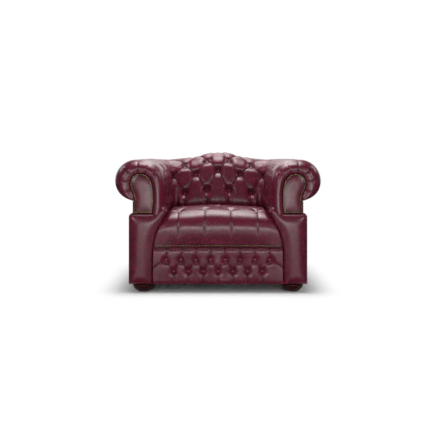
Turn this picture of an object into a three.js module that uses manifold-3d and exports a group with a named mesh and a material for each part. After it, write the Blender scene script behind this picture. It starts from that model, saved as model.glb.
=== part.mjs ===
// A deep-buttoned chesterfield armchair, in millimetres, with +Z up and the front facing -Y.
// A hardwood frame on four bun feet carries serpentine springs, a sprung seat and buttoned padding
// that runs as one roll round the arms and back, with a raised middle.
import * as THREE from "three";
import { mergeVertices } from "three/addons/utils/BufferGeometryUtils.js";
import Module from "manifold-3d";

const wasm = await Module();
wasm.setup();

// Overall sizes
const overallWidth = 1150;
const overallDepth = 930;
const armHeight = 734;
const humpHeight = 44;
const humpHalfWidth = 260;
const baseHeight = 48;
const clearance = 0.3;

// Roll and inner face of the arms and back
const rollRadius = 112;
const rollReach = 158;
const neckReach = 170;
const padBottomRise = 55;
const padDepth = 80;
const cornerRadius = 60;
const reclineDepth = 45;
const reclineHeight = 190;
const reclineTop = 620;
const tuftDepth = 34;
const pleatReach = 44;
const ringWidth = 76;

// Facings and front panels of the arms
const facingWidth = 129;
const facingHeight = 219;
const facingInset = 56;
const facingThickness = 12;
const facingSetback = 20;
const frontPanelWidth = 136;
const frontPanelHeight = 393;
const frontPanelReturn = 54;
const frontPanelEdge = 6;
const wingWidth = 80;
const wingRise = 38;
const wingDrop = 230;

// Seat and front border
const seatCrown = 466;
const seatBottom = 248;
const seatFrontSetback = 10;
const seatSideFall = 12;
const seatRearTaper = 9;
const seatTaperLength = 50;
const seatButtonSpacing = 150;
const seatButtonFromFront = 285;
const seatRowDepth = 150;
const seatTuftDepth = 20;
const borderSetback = 15;
const borderTuftDepth = 12;
const borderButtonSpacing = 82.3;
const borderUpperRow = 183;
const borderLowerRow = 118.5;
const borderPleatReach = 30;

// Frame, springs and deck
const boardThickness = 25;
const railBottom = 51;
const railTop = 330;
const topRailWidth = 65;
const topRailThickness = 30;
const topRailInner = 95;
const tackRailWidth = 30;
const tackRailHeight = 30;
const tackRailReach = 56;
const sideRailReach = 127;
const rearRailHeight = 90;
const rearRailReach = 125;
const seatRailFromInner = 5;
const seatRailHeight = 80;
const rearPostWidth = 78;
const rearPostDepth = 86;
const rearPostReach = 70;
const rearPostSetback = 61;
const stileWidth = 60;
const blockSize = 100;
const rearBlockSize = 60;
const blockHeight = 50;
const springWire = 4;
const springWidth = 50;
const springPitch = 80;
const springCount = 5;
const deckThickness = 10;
const webbingThickness = 4;
const shellThickness = 7;
const dustCoverThickness = 2;
const dustCoverInset = 10;

// Feet
const footRadius = 62;
const footX = 418;
const footFrontInset = 80;
const rearFootX = 395;
const rearFootInset = 175;
const boltRadius = 5;
const boltLength = 70;
const boltDepth = 30;
const glideRadius = 14;
const glideThickness = 5;
const glideProud = 1.2;

// Nail trims
const trimWidth = 10;
const trimThickness = 3;
const facingTrimInset = 2;
const frontTrimHeight = 257;
const backTrimShare = 0.33;

// Lines worked out from the sizes above
const frontY = -overallDepth / 2;
const innerX = overallWidth / 2 - rollReach - rollRadius;
const innerY = overallDepth / 2 - rollReach - rollRadius;
const rollZ = armHeight - rollRadius;
const springBottom = railTop + clearance;
const deckBottom = springBottom + springWire + clearance;
const seatUnderside = deckBottom + deckThickness + clearance;
const padBottomHeight = seatUnderside + padBottomRise;
const facingY = frontY + facingSetback;
const postFrontY = facingY + facingThickness + clearance;
const postRearY = postFrontY + boardThickness;
const panelX = innerX + facingInset;
const panelTop = baseHeight + frontPanelHeight;
const facingBottom = panelTop + clearance;
const coverRearY = facingY + facingThickness;
const straightHalf = innerX - cornerRadius;
const cornerArc = (cornerRadius * Math.PI) / 2;
const mitreT = straightHalf + cornerArc / 2;
const armStartT = straightHalf + cornerArc;
const tuftWidth = mitreT / 2;
const ringStartT = armStartT + (innerY - cornerRadius) - (facingY + ringWidth);
const armEndT = ringStartT + ringWidth;

// Finishes
const leather = { color: 0x551c2f, roughness: 0.35, metalness: 0 };
const timber = { color: 0xb98f5d, roughness: 0.7, metalness: 0 };
const darkWood = { color: 0x270301, roughness: 0.35, metalness: 0 };
const steel = { color: 0x8a8d90, roughness: 0.4, metalness: 0.9 };
const brass = { color: 0x6e5a30, roughness: 0.4, metalness: 0.9 };
const cloth = { color: 0x1c1a1a, roughness: 0.95, metalness: 0 };
const canvas = { color: 0xb7a27c, roughness: 0.95, metalness: 0 };

const group = new THREE.Group();

// Adds one named mesh of the given finish to the chair.
function addPiece(name, geometry, finish) {
  const mesh = new THREE.Mesh(geometry, new THREE.MeshStandardMaterial(finish));
  mesh.name = name;
  group.add(mesh);
  return mesh;
}

const clamp01 = (x) => Math.min(1, Math.max(0, x));
const smooth = (x) => clamp01(x) ** 2 * (3 - 2 * clamp01(x));

// How much squarer than round the outside of a corner is, and how much of the hump a height takes.
const squareness = 2.5;
const humpShare = (z) => clamp01((z - (reclineTop - reclineHeight)) / reclineHeight);

// Plan of the upholstery: the place of a point that lies t along the inner line from the middle of the
// back, p outward from that line and z up. The corner is round at the inner line and squarer outside.
function place(t, p, z) {
  const side = Math.sign(t) || 1;
  const along = Math.abs(t);
  const turn = clamp01((along - straightHalf) / cornerArc) * (Math.PI / 2);
  const hump = humpHeight * (1 + Math.cos(Math.PI * clamp01(along / humpHalfWidth))) * humpShare(z);
  const lean = reclineDepth * clamp01((reclineTop - z) / reclineHeight) * (1 - smooth(p / padDepth));
  const reach = p - lean * Math.cos(turn) ** 2;
  const square = 2 + squareness * smooth(reach / neckReach);
  const rounding = (Math.cos(turn) ** square + Math.sin(turn) ** square) ** (-1 / square);
  const corner = (cornerRadius + reach) * rounding;
  const x = Math.min(along, straightHalf) + corner * Math.sin(turn);
  const y = innerY - cornerRadius - Math.max(0, along - armStartT) + corner * Math.cos(turn);
  return new THREE.Vector3(side * x, y, z + hump / 2);
}

// A closed body from rings of points, one after another, all wound the same way.
function loft(rings) {
  const size = rings[0].length;
  const positions = rings.flat().flatMap((v) => [v.x, v.y, v.z]);
  const index = [];
  for (let i = 0; i + 1 < rings.length; i++) {
    for (let j = 0; j < size; j++) {
      const [a, b] = [i * size + j, i * size + ((j + 1) % size)];
      const [c, d] = [a + size, b + size];
      if (i % 2 === j % 2) index.push(a, c, d, a, d, b);
      else index.push(a, c, b, b, c, d);
    }
  }
  const cap = capTriangles(rings[0]);
  const last = (rings.length - 1) * size;
  const lastCap = capTriangles(rings[rings.length - 1]);
  for (const [a, b, c] of cap) index.push(a, b, c);
  for (const [a, b, c] of lastCap) index.push(last + a, last + c, last + b);
  const geometry = new THREE.BufferGeometry();
  geometry.setAttribute("position", new THREE.Float32BufferAttribute(positions, 3));
  geometry.setIndex(index);
  return facingOut(geometry);
}

// Triangles that close a ring, found in the plane that the ring lies nearest to.
function capTriangles(ring) {
  const normal = new THREE.Vector3();
  ring.forEach((v, i) => normal.add(v.clone().cross(ring[(i + 1) % ring.length])));
  const drop = ["x", "y", "z"].sort((a, b) => Math.abs(normal[b]) - Math.abs(normal[a]))[0];
  const [u, w] = ["x", "y", "z"].filter((axis) => axis !== drop);
  const flat = ring.map((v) => new THREE.Vector2(v[u], v[w]));
  const turned = THREE.ShapeUtils.isClockWise(flat);
  const triangles = THREE.ShapeUtils.triangulateShape(flat, []);
  const forward = newellSign(flat, triangles[0]) > 0 !== turned;
  return forward ? triangles : triangles.map(([a, b, c]) => [a, c, b]);
}

function newellSign(points, [a, b, c]) {
  const [ab, ac] = [points[b].clone().sub(points[a]), points[c].clone().sub(points[a])];
  return ab.cross(ac);
}

// Turns every face round if the body would otherwise be inside out.
function facingOut(geometry) {
  const { array } = geometry.getAttribute("position");
  const at = (i) => new THREE.Vector3().fromArray(array, i * 3);
  const index = Array.from(geometry.index.array);
  let volume = 0;
  for (let i = 0; i < index.length; i += 3) {
    volume += at(index[i]).dot(at(index[i + 1]).cross(at(index[i + 2])));
  }
  if (volume < 0) {
    for (let i = 0; i < index.length; i += 3) {
      [index[i + 1], index[i + 2]] = [index[i + 2], index[i + 1]];
    }
  }
  geometry.setIndex(index);
  geometry.computeVertexNormals();
  return geometry;
}

function toSolid(geometry) {
  const bare = geometry.clone();
  bare.deleteAttribute("normal");
  bare.deleteAttribute("uv");
  const merged = mergeVertices(bare);
  return new wasm.Manifold(
    new wasm.Mesh({
      numProp: 3,
      vertProperties: new Float32Array(merged.getAttribute("position").array),
      triVerts: new Uint32Array(merged.index.array),
    }),
  );
}

function fromSolid(solid) {
  const { vertProperties, triVerts, numProp } = solid.getMesh();
  const geometry = new THREE.BufferGeometry();
  const positions = Array.from({ length: (vertProperties.length / numProp) * 3 }, (_, i) => {
    return vertProperties[Math.floor(i / 3) * numProp + (i % 3)];
  });
  geometry.setAttribute("position", new THREE.Float32BufferAttribute(positions, 3));
  geometry.setIndex(Array.from(triVerts));
  geometry.computeVertexNormals();
  return geometry;
}

const cut = (body, ...tools) =>
  fromSolid(tools.reduce((solid, tool) => solid.subtract(toSolid(tool)), toSolid(body)));
const join = (...bodies) =>
  fromSolid(bodies.slice(1).reduce((solid, next) => solid.add(toSolid(next)), toSolid(bodies[0])));

function mirrored(geometry) {
  const copy = geometry.clone().scale(-1, 1, 1);
  return facingOut(copy.index ? copy : mergeVertices(copy));
}

// A box between two corners.
function box(x0, x1, y0, y1, z0, z1) {
  const geometry = new THREE.BoxGeometry(x1 - x0, y1 - y0, z1 - z0);
  return geometry.translate((x0 + x1) / 2, (y0 + y1) / 2, (z0 + z1) / 2);
}

const shapeOf = (points) => new THREE.Shape(points.map(([x, y]) => new THREE.Vector2(x, y)));

// A plate of the given outline in X and Z, from front y0 back to y1.
function standingPlate(outline, y0, y1, bevel = 0) {
  const options = {
    depth: y1 - y0 - 2 * bevel,
    bevelEnabled: bevel > 0,
    bevelThickness: bevel,
    bevelSize: bevel,
    bevelOffset: -bevel,
    bevelSegments: 2,
  };
  const geometry = new THREE.ExtrudeGeometry(shapeOf(outline), options);
  return geometry.rotateX(Math.PI / 2).translate(0, y1 - bevel, 0);
}

// A plate of the given plan outline, from z0 up to z1.
function lyingPlate(outline, z0, z1) {
  const geometry = new THREE.ExtrudeGeometry(shapeOf(outline), { depth: z1 - z0, bevelEnabled: false });
  return geometry.translate(0, 0, z0);
}

// The outline moved outward by an amount, or inward by a negative one.
function grown(outline, amount) {
  const turned = THREE.ShapeUtils.isClockWise(outline.map(([x, y]) => new THREE.Vector2(x, y))) ? -1 : 1;
  return outline.map(([x, y], i) => {
    const [px, py] = outline[(i + outline.length - 1) % outline.length];
    const [nx, ny] = outline[(i + 1) % outline.length];
    const before = new THREE.Vector2(y - py, px - x).normalize().multiplyScalar(turned);
    const after = new THREE.Vector2(ny - y, x - nx).normalize().multiplyScalar(turned);
    const normal = before.clone().add(after).normalize();
    const reach = amount / Math.max(0.5, normal.dot(after));
    return [x + normal.x * reach, y + normal.y * reach];
  });
}

// Section through the padding: the inner face from its bottom edge up to the top of the roll, as shares
// of the reach to the roll's centre and of the height of the face, then the roll round to the neck.
const faceOutlineShares = [
  [0.06, 0],
  [-0.055, 0.18],
  [-0.055, 0.36],
  [-0.03, 0.6],
  [0.03, 0.75],
  [0.16, 0.868],
  [0.42, 0.964],
  [0.67, 0.997],
  [1, 1],
];
const faceCurve = new THREE.CatmullRomCurve3(
  faceOutlineShares.map(
    ([p, z]) => new THREE.Vector3(p * rollReach, 0, padBottomHeight + z * (armHeight - padBottomHeight)),
  ),
);
const faceLength = faceCurve.getLength();
const neckAngle = Math.acos((neckReach - rollReach) / rollRadius);
const rollLength = rollRadius * (Math.PI / 2 + neckAngle);
const sectionLength = faceLength + rollLength;
const neckZ = rollZ - rollRadius * Math.sin(neckAngle);

// The point of the section at arc length r from the bottom edge, as p outward and z up.
function sectionPoint(r) {
  if (r <= faceLength) {
    const v = faceCurve.getPointAt(clamp01(r / faceLength));
    return [v.x, v.z];
  }
  const angle = Math.PI / 2 - (r - faceLength) / rollRadius;
  return [rollReach + rollRadius * Math.cos(angle), rollZ + rollRadius * Math.sin(angle)];
}

// The section's outward normal at r.
function sectionNormal(r) {
  const step = rollRadius / 100;
  const [p0, z0] = sectionPoint(Math.max(0, r - step));
  const [p1, z1] = sectionPoint(Math.min(sectionLength, r + step));
  const length = Math.hypot(p1 - p0, z1 - z0);
  return [-(z1 - z0) / length, (p1 - p0) / length];
}

// The scroll of an arm's front as a closed outline from its bottom outer corner round over the top,
// in shares of the facing's width and height.
const facingOutlineShares = [
  [0.853, 0],
  [0.818, 0.318],
  [0.818, 0.42],
  [0.9, 0.542],
  [0.985, 0.65],
  [1, 0.74],
  [0.975, 0.83],
  [0.884, 0.92],
  [0.705, 0.985],
  [0.527, 0.995],
  [0.349, 0.963],
  [0.186, 0.874],
  [0.078, 0.734],
  [0.023, 0.533],
  [0.016, 0.346],
  [0.039, 0.15],
  [0.07, 0],
];
const facingLeft = innerX + facingInset;
const facingOutline = facingOutlineShares.map(([x, z]) => [
  facingLeft + x * facingWidth,
  facingBottom + z * facingHeight,
]);
const facingCurve = new THREE.CatmullRomCurve3(
  [[facingOutline[facingOutline.length - 1][0], padBottomHeight], ...facingOutline.slice(1).reverse()].map(
    ([x, z]) => new THREE.Vector3(x - innerX, 0, z),
  ),
);

// Rows of buttons, from just above the seat to the outside of the roll, as shares of the section's length.
const rowShares = [0.146, 0.284, 0.385, 0.53, 0.675];
const rows = rowShares.map((share) => share * sectionLength);
const lastColumn = 5;
// Directions of the pleats round the front of a roll, from its centre, in degrees up from the outside.
const ringPleatDegrees = [154, 129, 97, 47, 5.5, -39];
const ringPleats = ringPleatDegrees.map((degrees) => sectionAt((degrees * Math.PI) / 180));

// The arc length at which the section is seen in a direction from the roll's centre.
function sectionAt(angle) {
  if (angle <= Math.PI / 2) return faceLength + rollRadius * (Math.PI / 2 - angle);
  const away = (r) => {
    const [p, z] = sectionPoint(r);
    return Math.abs(Math.atan2(z - rollZ, p - rollReach) - angle);
  };
  const tries = Array.from({ length: 100 }, (_, i) => faceLength * (0.5 + i / 200));
  return tries.reduce((best, r) => (away(r) < away(best) ? r : best));
}

// Pleats as straight lines in t and r, between buttons of neighbouring rows and down to the edges.
function pleatLines() {
  const lines = [];
  const columns = (row) => (row % 2 === 0 ? 0.5 : 0);
  rows.forEach((r, row) => {
    for (let k = -lastColumn - 1; k <= lastColumn; k++) {
      const t = (k + columns(row)) * tuftWidth;
      if (Math.abs(t) > lastColumn * tuftWidth + tuftWidth / 4) continue;
      if (row === 0) lines.push([t, 0, t, r]);
      if (row === rows.length - 1) lines.push([t, r, t, sectionLength]);
      for (const side of [-1, 1]) {
        const next = t + (side * tuftWidth) / 2;
        if (row + 1 < rows.length && Math.abs(next) <= lastColumn * tuftWidth + 1) {
          lines.push([t, r, next, rows[row + 1]]);
        }
      }
    }
  });
  const front = lastColumn * tuftWidth;
  for (const side of [-1, 1]) {
    lines.push([side * front, rows[1], side * ringStartT, ringPleats[0]]);
    lines.push([side * front, rows[3], side * ringStartT, ringPleats[2]]);
    for (const r of ringPleats) lines.push([side * ringStartT, r, side * armEndT, r]);
  }
  return lines;
}
const pleats = pleatLines();
const creaseShare = 0.6;

// How full the padding is at a distance from a pleat, from creaseShare in it to 1 beyond its reach.
function fullness(distance, reach) {
  const x = Math.min(1, distance / reach);
  return creaseShare + (1 - creaseShare) * Math.sqrt(1 - (1 - x) ** 2);
}

function distanceToLine(x, y, [x0, y0, x1, y1]) {
  const [dx, dy] = [x1 - x0, y1 - y0];
  const share = clamp01(((x - x0) * dx + (y - y0) * dy) / (dx * dx + dy * dy));
  return Math.hypot(x - x0 - share * dx, y - y0 - share * dy);
}

const tufted = (x, y, lines, reach) =>
  lines.reduce((height, line) => height * fullness(distanceToLine(x, y, line), reach), 1);

// Numbers from the first to the last given, with the steps between each two split alike.
function divided(stops, steps) {
  const parts = stops.slice(1).map((stop, i) =>
    Array.from({ length: steps[i] }, (_, k) => stops[i] + ((stop - stops[i]) * k) / steps[i]),
  );
  return [...parts.flat(), stops[stops.length - 1]];
}

const tuftSteps = 4;
const sectionStops = divided([0, ...rows, sectionLength], [2, ...rows.slice(1).map(() => tuftSteps), 3]);
// The inside of the padding, behind its face and round the top rail.
const railOuter = topRailInner + topRailWidth;
const railUnder = neckZ + clearance;
const railUpper = railUnder + topRailThickness;
const liningPoints = [
  [railOuter + clearance, railUnder],
  [railOuter + clearance, railUpper + clearance],
  [topRailInner - clearance, railUpper + clearance],
  [topRailInner - clearance, railUnder],
  [padDepth, railUnder - topRailThickness],
  [padDepth, padBottomHeight],
];

const edgeFade = (r) => smooth((sectionLength - r) / rollRadius);

// One ring of the padding at t, tufted on its face; front is 0 behind the arm's rounded end and 1 at it.
function padRing(t, front = 0) {
  const turn = (front * Math.PI) / 2;
  const face = sectionStops.map((r) => {
    const [p, z] = sectionPoint(r);
    const [np, nz] = sectionNormal(r);
    const sunk = tuftDepth * (tufted(t, r, pleats, pleatReach) - 1) * edgeFade(r);
    const [fullP, fullZ] = [p + np * sunk, z + nz * sunk];
    const near = facingCurve.getPointAt(r / sectionLength);
    const share = Math.cos(turn);
    return place(t, near.x + (fullP - near.x) * share, near.z + (fullZ - near.z) * share);
  });
  return [...face, ...liningPoints.map(([p, z]) => place(t, p, z))];
}

// The padded panel at the foot of each arm's front, with a wing that rises inward to meet the seat, as
// shares of the wing's width and of its rise above, or drop below, the panel's top edge.
const wingTopShares = [
  [0, 0],
  [0.2, 0.18],
  [0.45, 0.55],
  [0.625, 1],
  [0.81, 0.76],
];
const wingSideShares = [
  [1, 0.052],
  [0.725, -0.113],
  [0.4625, -0.317],
  [0.2375, -0.504],
  [0.0875, -0.687],
  [0.025, -0.83],
  [0, -1],
];
const wingTop = wingTopShares.map(([x, z]) => [panelX - x * wingWidth, panelTop + z * wingRise]);
const wingSide = wingSideShares.map(([x, z]) => [panelX - x * wingWidth, panelTop + z * wingDrop]);
const panelOutline = [
  [panelX, baseHeight],
  [panelX + frontPanelWidth, baseHeight],
  [panelX + frontPanelWidth, panelTop - wingRise / 2],
  [panelX + frontPanelWidth - wingRise / 4, panelTop - wingRise / 8],
  [panelX + frontPanelWidth - wingRise / 2, panelTop],
  ...wingTop,
  ...wingSide,
];
const sideCover = [
  [facingOutline[0][0] + clearance, baseHeight],
  ...panelOutline.slice(1, 4),
  [facingOutline[0][0] + clearance, panelTop - wingRise / 8],
];

// Half the width of the seat between the wings at height z.
function wingX(z) {
  const below = wingSide.findIndex(([, height]) => height <= z);
  if (below === 0) return wingSide[0][0];
  if (below < 0) return panelX;
  const [[x0, z0], [x1, z1]] = [wingSide[below - 1], wingSide[below]];
  return x0 + ((x1 - x0) * (z - z0)) / (z1 - z0);
}

const postOutline = [
  [facingOutline[0][0], railBottom],
  ...facingOutline,
  [facingOutline[facingOutline.length - 1][0], railBottom],
];
const postInnerX = postOutline[postOutline.length - 1][0];
const overrun = clearance * 10;

// Stops along the inner line: eight to a button spacing across the back, and round and along an arm.
const backStops = divided([-mitreT, mitreT], [4 * tuftSteps * 2]);
const armStops = divided([mitreT, lastColumn * tuftWidth], [3 * tuftSteps * 2]);
const cornerStops = armStops.filter((t) => t < armStartT + tuftWidth / 4);

// Padding of one arm, cut to clear the scroll board, the facing and the front panel.
function armPad() {
  const ringSteps = 4;
  const frontStops = divided([lastColumn * tuftWidth, ringStartT], [3]).slice(1);
  const rings = [...armStops, ...frontStops].map((t) => padRing(t));
  for (let k = 1; k <= ringSteps; k++) {
    const front = k / ringSteps;
    rings.push(padRing(ringStartT + ringWidth * Math.sin((front * Math.PI) / 2), front));
  }
  const offset = (clearance / 2) * Math.SQRT1_2;
  rings[0].forEach((v) => v.add(new THREE.Vector3(offset, -offset, 0)));
  const scroll = standingPlate(grown(postOutline, clearance), facingY - overrun, postRearY + clearance);
  const panel = standingPlate(grown(panelOutline, clearance), frontY - overrun, coverRearY + clearance);
  return cut(loft(rings), scroll, panel);
}

function backPad() {
  const rings = backStops.map((t) => padRing(t));
  const offset = (clearance / 2) * Math.SQRT1_2;
  rings[0].forEach((v) => v.add(new THREE.Vector3(offset, -offset, 0)));
  rings[rings.length - 1].forEach((v) => v.add(new THREE.Vector3(-offset, offset, 0)));
  return loft(rings);
}

// A strip swept along the inner line between two stops, p0 to p1 outward and z0 to z1 high.
function strip(stops, p0, p1, z0, z1, mitres = [0, 0]) {
  const rings = stops.map((t) => [place(t, p0, z0), place(t, p1, z0), place(t, p1, z1), place(t, p0, z1)]);
  const shift = (ring, amount) => ring.forEach((v) => v.add(new THREE.Vector3(amount, -Math.abs(amount), 0)));
  shift(rings[0], mitres[0]);
  shift(rings[rings.length - 1], mitres[1]);
  return loft(rings);
}

// Section through the seat from its front lower edge up, over the crown and back, as shares of the seat's
// depth and of its height.
const seatOutlineShares = [
  [0.02, 0],
  [0.008, 0.19],
  [0, 0.44],
  [0.01, 0.67],
  [0.0369, 0.824],
  [0.083, 0.912],
  [0.157, 0.958],
  [0.256, 0.981],
  [0.364, 0.995],
  [0.471, 1],
  [0.587, 1],
  [0.7, 0.99],
  [0.835, 0.954],
  [0.934, 0.912],
  [1, 0.88],
];
const seatFrontY = frontY + seatFrontSetback;
const backFaceY = Math.min(...sectionStops.map((r) => place(0, ...sectionPoint(r)).y));
const seatRearY = backFaceY - clearance;
const seatSection = seatOutlineShares.map(([y, z]) => [
  seatFrontY + y * (seatRearY - seatFrontY),
  seatBottom + z * (seatCrown - seatBottom),
]);
const seatArcs = [0];
for (const [i, [y, z]] of seatSection.slice(1).entries()) {
  const [lastY, lastZ] = seatSection[i];
  seatArcs.push(seatArcs[i] + Math.hypot(y - lastY, z - lastZ));
}
const armFaceX = innerX + Math.min(...sectionStops.map((r) => sectionPoint(r)[0])) - clearance;

// Half the seat's width at a depth and height: between the wings in front, and the arms behind them.
function seatHalfWidth(y, z) {
  if (y <= coverRearY + clearance * 2) return wingX(z) - clearance;
  return armFaceX - seatRearTaper * smooth((y - seatRearY) / seatTaperLength + 1);
}

// The seat: a crown between the arms, with a row of buttons, pleats down its rounded front and a second
// row half a spacing over behind it.
function seatPad() {
  const half = seatButtonSpacing / 2;
  const buttonArc = seatArcs[seatArcs.length - 1] - (seatRearY - frontY - seatButtonFromFront);
  const rearArc = buttonArc + seatRowDepth;
  const lines = [];
  for (const k of [-3, -1, 1, 3]) {
    lines.push([k * half, seatArcs[1], k * half, buttonArc]);
    lines.push([k * half, buttonArc, (k - 1) * half, rearArc]);
    lines.push([k * half, buttonArc, (k + 1) * half, rearArc]);
  }
  const columns = divided([-armFaceX, -half * 3, half * 3, armFaceX], [2, 12, 2]);
  const rings = columns.map((x) => {
    const share = x / armFaceX;
    const fall = seatSideFall * share ** 4;
    const top = seatSection.map(([y, z], i) => {
      const sunk = seatTuftDepth * (1 - tufted(x, seatArcs[i], lines, half / 2)) * (i ? 1 : 0);
      const flat = smooth(i / 5);
      const upper = smooth((z - seatBottom) / (seatCrown - seatBottom));
      const width = seatHalfWidth(y, z);
      return new THREE.Vector3(share * width, y + sunk * (1 - flat), z - sunk * flat - fall * upper);
    });
    const under = [
      [seatRearY, seatUnderside, padBottomHeight],
      [coverRearY, seatUnderside, padBottomHeight],
      [coverRearY, seatBottom, seatBottom],
    ];
    const base = under.map(([y, z, level]) => new THREE.Vector3(share * (wingX(level) - clearance), y, z));
    return [...top, ...base];
  });
  return loft(rings);
}

// The front border under the seat, with two rows of buttons and upright and zigzag pleats.
function frontBorder() {
  const half = borderButtonSpacing / 2;
  const top = seatBottom - clearance;
  const halfWidth = panelX - clearance;
  const lines = [];
  for (let k = -7; k <= 7; k++) {
    const [x, next] = [k * half, (k + 1) * half];
    const upper = k % 2 !== 0;
    const [from, to] = upper ? [borderUpperRow, borderLowerRow] : [borderLowerRow, borderUpperRow];
    lines.push([x, upper ? top : baseHeight, x, from]);
    if (k < 7) lines.push([x, from, next, to]);
  }
  const columns = divided([-halfWidth, -half * 8, half * 8, halfWidth], [1, 32, 1]);
  const heights = divided([baseHeight, borderLowerRow, borderUpperRow, top], [2, 2, 2]);
  const crown = (z) => Math.sin((Math.PI * (z - baseHeight)) / (top - baseHeight));
  const narrow = (x, z) => (x * (wingX(z) - clearance)) / halfWidth;
  const rings = columns.map((x) => {
    const face = heights.map((z) => {
      const sunk = borderTuftDepth * (1 - tufted(x, z, lines, borderPleatReach) * (0.5 + crown(z) / 2));
      return new THREE.Vector3(narrow(x, z), frontY + borderSetback + sunk, z);
    });
    return [...face, ...[top, baseHeight].map((z) => new THREE.Vector3(narrow(x, z), coverRearY, z))];
  });
  return loft(rings);
}

const shellInner = neckReach - shellThickness;
const shellTop = neckZ - clearance;
const backSeamT = straightHalf + cornerArc * backTrimShare;
const shellFrontY = coverRearY + frontPanelReturn + clearance;
const shellEndT = armStartT + (innerY - cornerRadius) - shellFrontY;

// The L-shaped padded cover of an arm's lower front, from the wing round to the outside panel.
function frontPanel() {
  const face = standingPlate(panelOutline, frontY, coverRearY, frontPanelEdge);
  const returned = standingPlate(sideCover, coverRearY - frontPanelEdge, coverRearY + frontPanelReturn);
  return join(face, returned);
}

// The panel outside an arm, round the rear corner, with a tongue over the front panel's return.
function outsideArm() {
  const stops = [backSeamT + clearance, ...cornerStops, shellEndT];
  const side = strip(stops, shellInner, neckReach, baseHeight, shellTop);
  const tongue = [facingOutline[0][0] + clearance, innerX + neckReach, facingY, shellFrontY + shellThickness];
  return join(side, box(...tongue, panelTop + clearance, shellTop));
}

function outsideBack() {
  const stops = [-backSeamT, ...backStops.filter((t) => Math.abs(t) < backSeamT - clearance), backSeamT];
  return strip(stops, shellInner, neckReach, baseHeight, shellTop);
}

function backTrim() {
  const between = backStops.filter((t) => t > backSeamT - trimWidth && t < backSeamT);
  const stops = [backSeamT - trimWidth, ...between, backSeamT];
  const [inner, outer] = [neckReach + clearance, neckReach + clearance + trimThickness];
  return strip(stops, inner, outer, baseHeight + clearance, shellTop - clearance);
}

// A line of nail heads round a facing, as a raised ribbon.
function facingTrim() {
  const shape = shapeOf(grown(facingOutline, -facingTrimInset));
  shape.holes.push(shapeOf(grown(facingOutline, -facingTrimInset - trimWidth)));
  const geometry = new THREE.ExtrudeGeometry(shape, { depth: trimThickness, bevelEnabled: false });
  return geometry.rotateX(Math.PI / 2).translate(0, facingY - clearance, 0);
}

// Frame lines shared by the rails, posts, springs and deck.
const sideRailX = innerX + sideRailReach;
const rearPostX = innerX + rearPostReach;
const rearPostY = innerY + rearPostSetback;
const rearRailY = innerY + rearRailReach;
const seatRailY = innerY + seatRailFromInner;
const tackRailY = innerY + tackRailReach;
const tackRailTop = padBottomHeight - clearance;
const mitreShift = (clearance / 2) * Math.SQRT1_2;

function armTopRail() {
  const endT = armStartT + (innerY - cornerRadius) - postRearY - clearance;
  return strip([...cornerStops, endT], topRailInner, railOuter, railUnder, railUpper, [mitreShift, 0]);
}

// The back's top rail, sawn to the rise of the hump.
function backTopRail() {
  return strip(backStops, topRailInner, railOuter, railUnder, railUpper, [mitreShift, -mitreShift]);
}

const rearPostShares = [
  [0, 0],
  [1, 0],
  [0.9, 0.44],
  [0.64, 0.73],
  [0.3, 0.91],
  [0, 1],
];

// A hole of the given radius up through a body.
function drill(x, y, radius, z0, z1) {
  const bit = new THREE.CylinderGeometry(radius, radius, z1 - z0, holeSides).rotateX(Math.PI / 2);
  return bit.translate(x, y, (z0 + z1) / 2);
}
const holeSides = 12;
const boltTop = railBottom - boltDepth + boltLength;
const frontFootY = frontY + footFrontInset;
const rearFootY = overallDepth / 2 - rearFootInset;
const boltHole = (x, y) => drill(x, y, boltRadius + clearance, railBottom - overrun, boltTop + clearance);

function rearPost() {
  const corner = ([x, y]) => [rearPostX + x * rearPostWidth, rearPostY + y * rearPostDepth];
  const outline = rearPostShares.map(corner);
  return cut(lyingPlate(outline, railBottom, neckZ), boltHole(rearFootX, rearFootY));
}

function frontBlock() {
  const [x, y] = [sideRailX - clearance, postRearY + clearance];
  const outline = [
    [x, y],
    [x, y + blockSize],
    [x - blockSize, y],
  ];
  return cut(lyingPlate(outline, railBottom, railBottom + blockHeight), boltHole(footX, frontFootY));
}

function rearBlock() {
  const [x, y] = [rearPostX - clearance, rearRailY - clearance];
  const outline = [
    [x, y],
    [x - rearBlockSize, y],
    [x, y - rearBlockSize],
  ];
  return lyingPlate(outline, railBottom, railBottom + blockHeight);
}

// A serpentine spring from the front rail to the seat's rear rail, as one bent wire.
function spring(x) {
  const start = postFrontY + boardThickness / 2;
  const end = seatRailY + boardThickness / 2;
  const waves = Math.round((end - start) / springPitch);
  const z = springBottom + springWire / 2;
  const points = Array.from({ length: waves * 4 + 1 }, (_, i) => {
    const swing = [0, 1, 0, -1][i % 4] * (springWidth / 2);
    return new THREE.Vector3(x + swing, start + ((end - start) * i) / (waves * 4), z);
  });
  const half = springWire / 2;
  const section = shapeOf([[half, 0], [0, half], [-half, 0], [0, -half]]);
  const path = new THREE.CatmullRomCurve3(points);
  return new THREE.ExtrudeGeometry(section, {
    steps: waves * 6,
    extrudePath: path,
    bevelEnabled: false,
  });
}

// A bun foot with a blind hole for its bolt above and a recess for its glide below, as shares of the
// foot's radius and height.
const footOutlineShares = [
  [0.48, 0],
  [0.66, 0.14],
  [0.86, 0.4],
  [0.97, 0.64],
  [1, 0.8],
  [0.74, 0.94],
  [0.74, 1],
];
const footTop = railBottom - clearance;
const footSides = 18;

function foot() {
  const holeRadius = boltRadius + clearance;
  const holeBottom = railBottom - boltDepth - clearance;
  const recess = glideThickness + clearance;
  const height = footTop - glideProud;
  const outline = footOutlineShares.map(([x, z]) => [x * footRadius, glideProud + z * height]);
  const profile = [
    [0, recess],
    [glideRadius + clearance, recess],
    [glideRadius + clearance, glideProud],
    ...outline,
    [holeRadius, footTop],
    [holeRadius, holeBottom],
    [0, holeBottom],
  ];
  const points = profile.map(([x, z]) => new THREE.Vector2(x, z));
  return new THREE.LatheGeometry(points, footSides).rotateX(Math.PI / 2);
}

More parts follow.
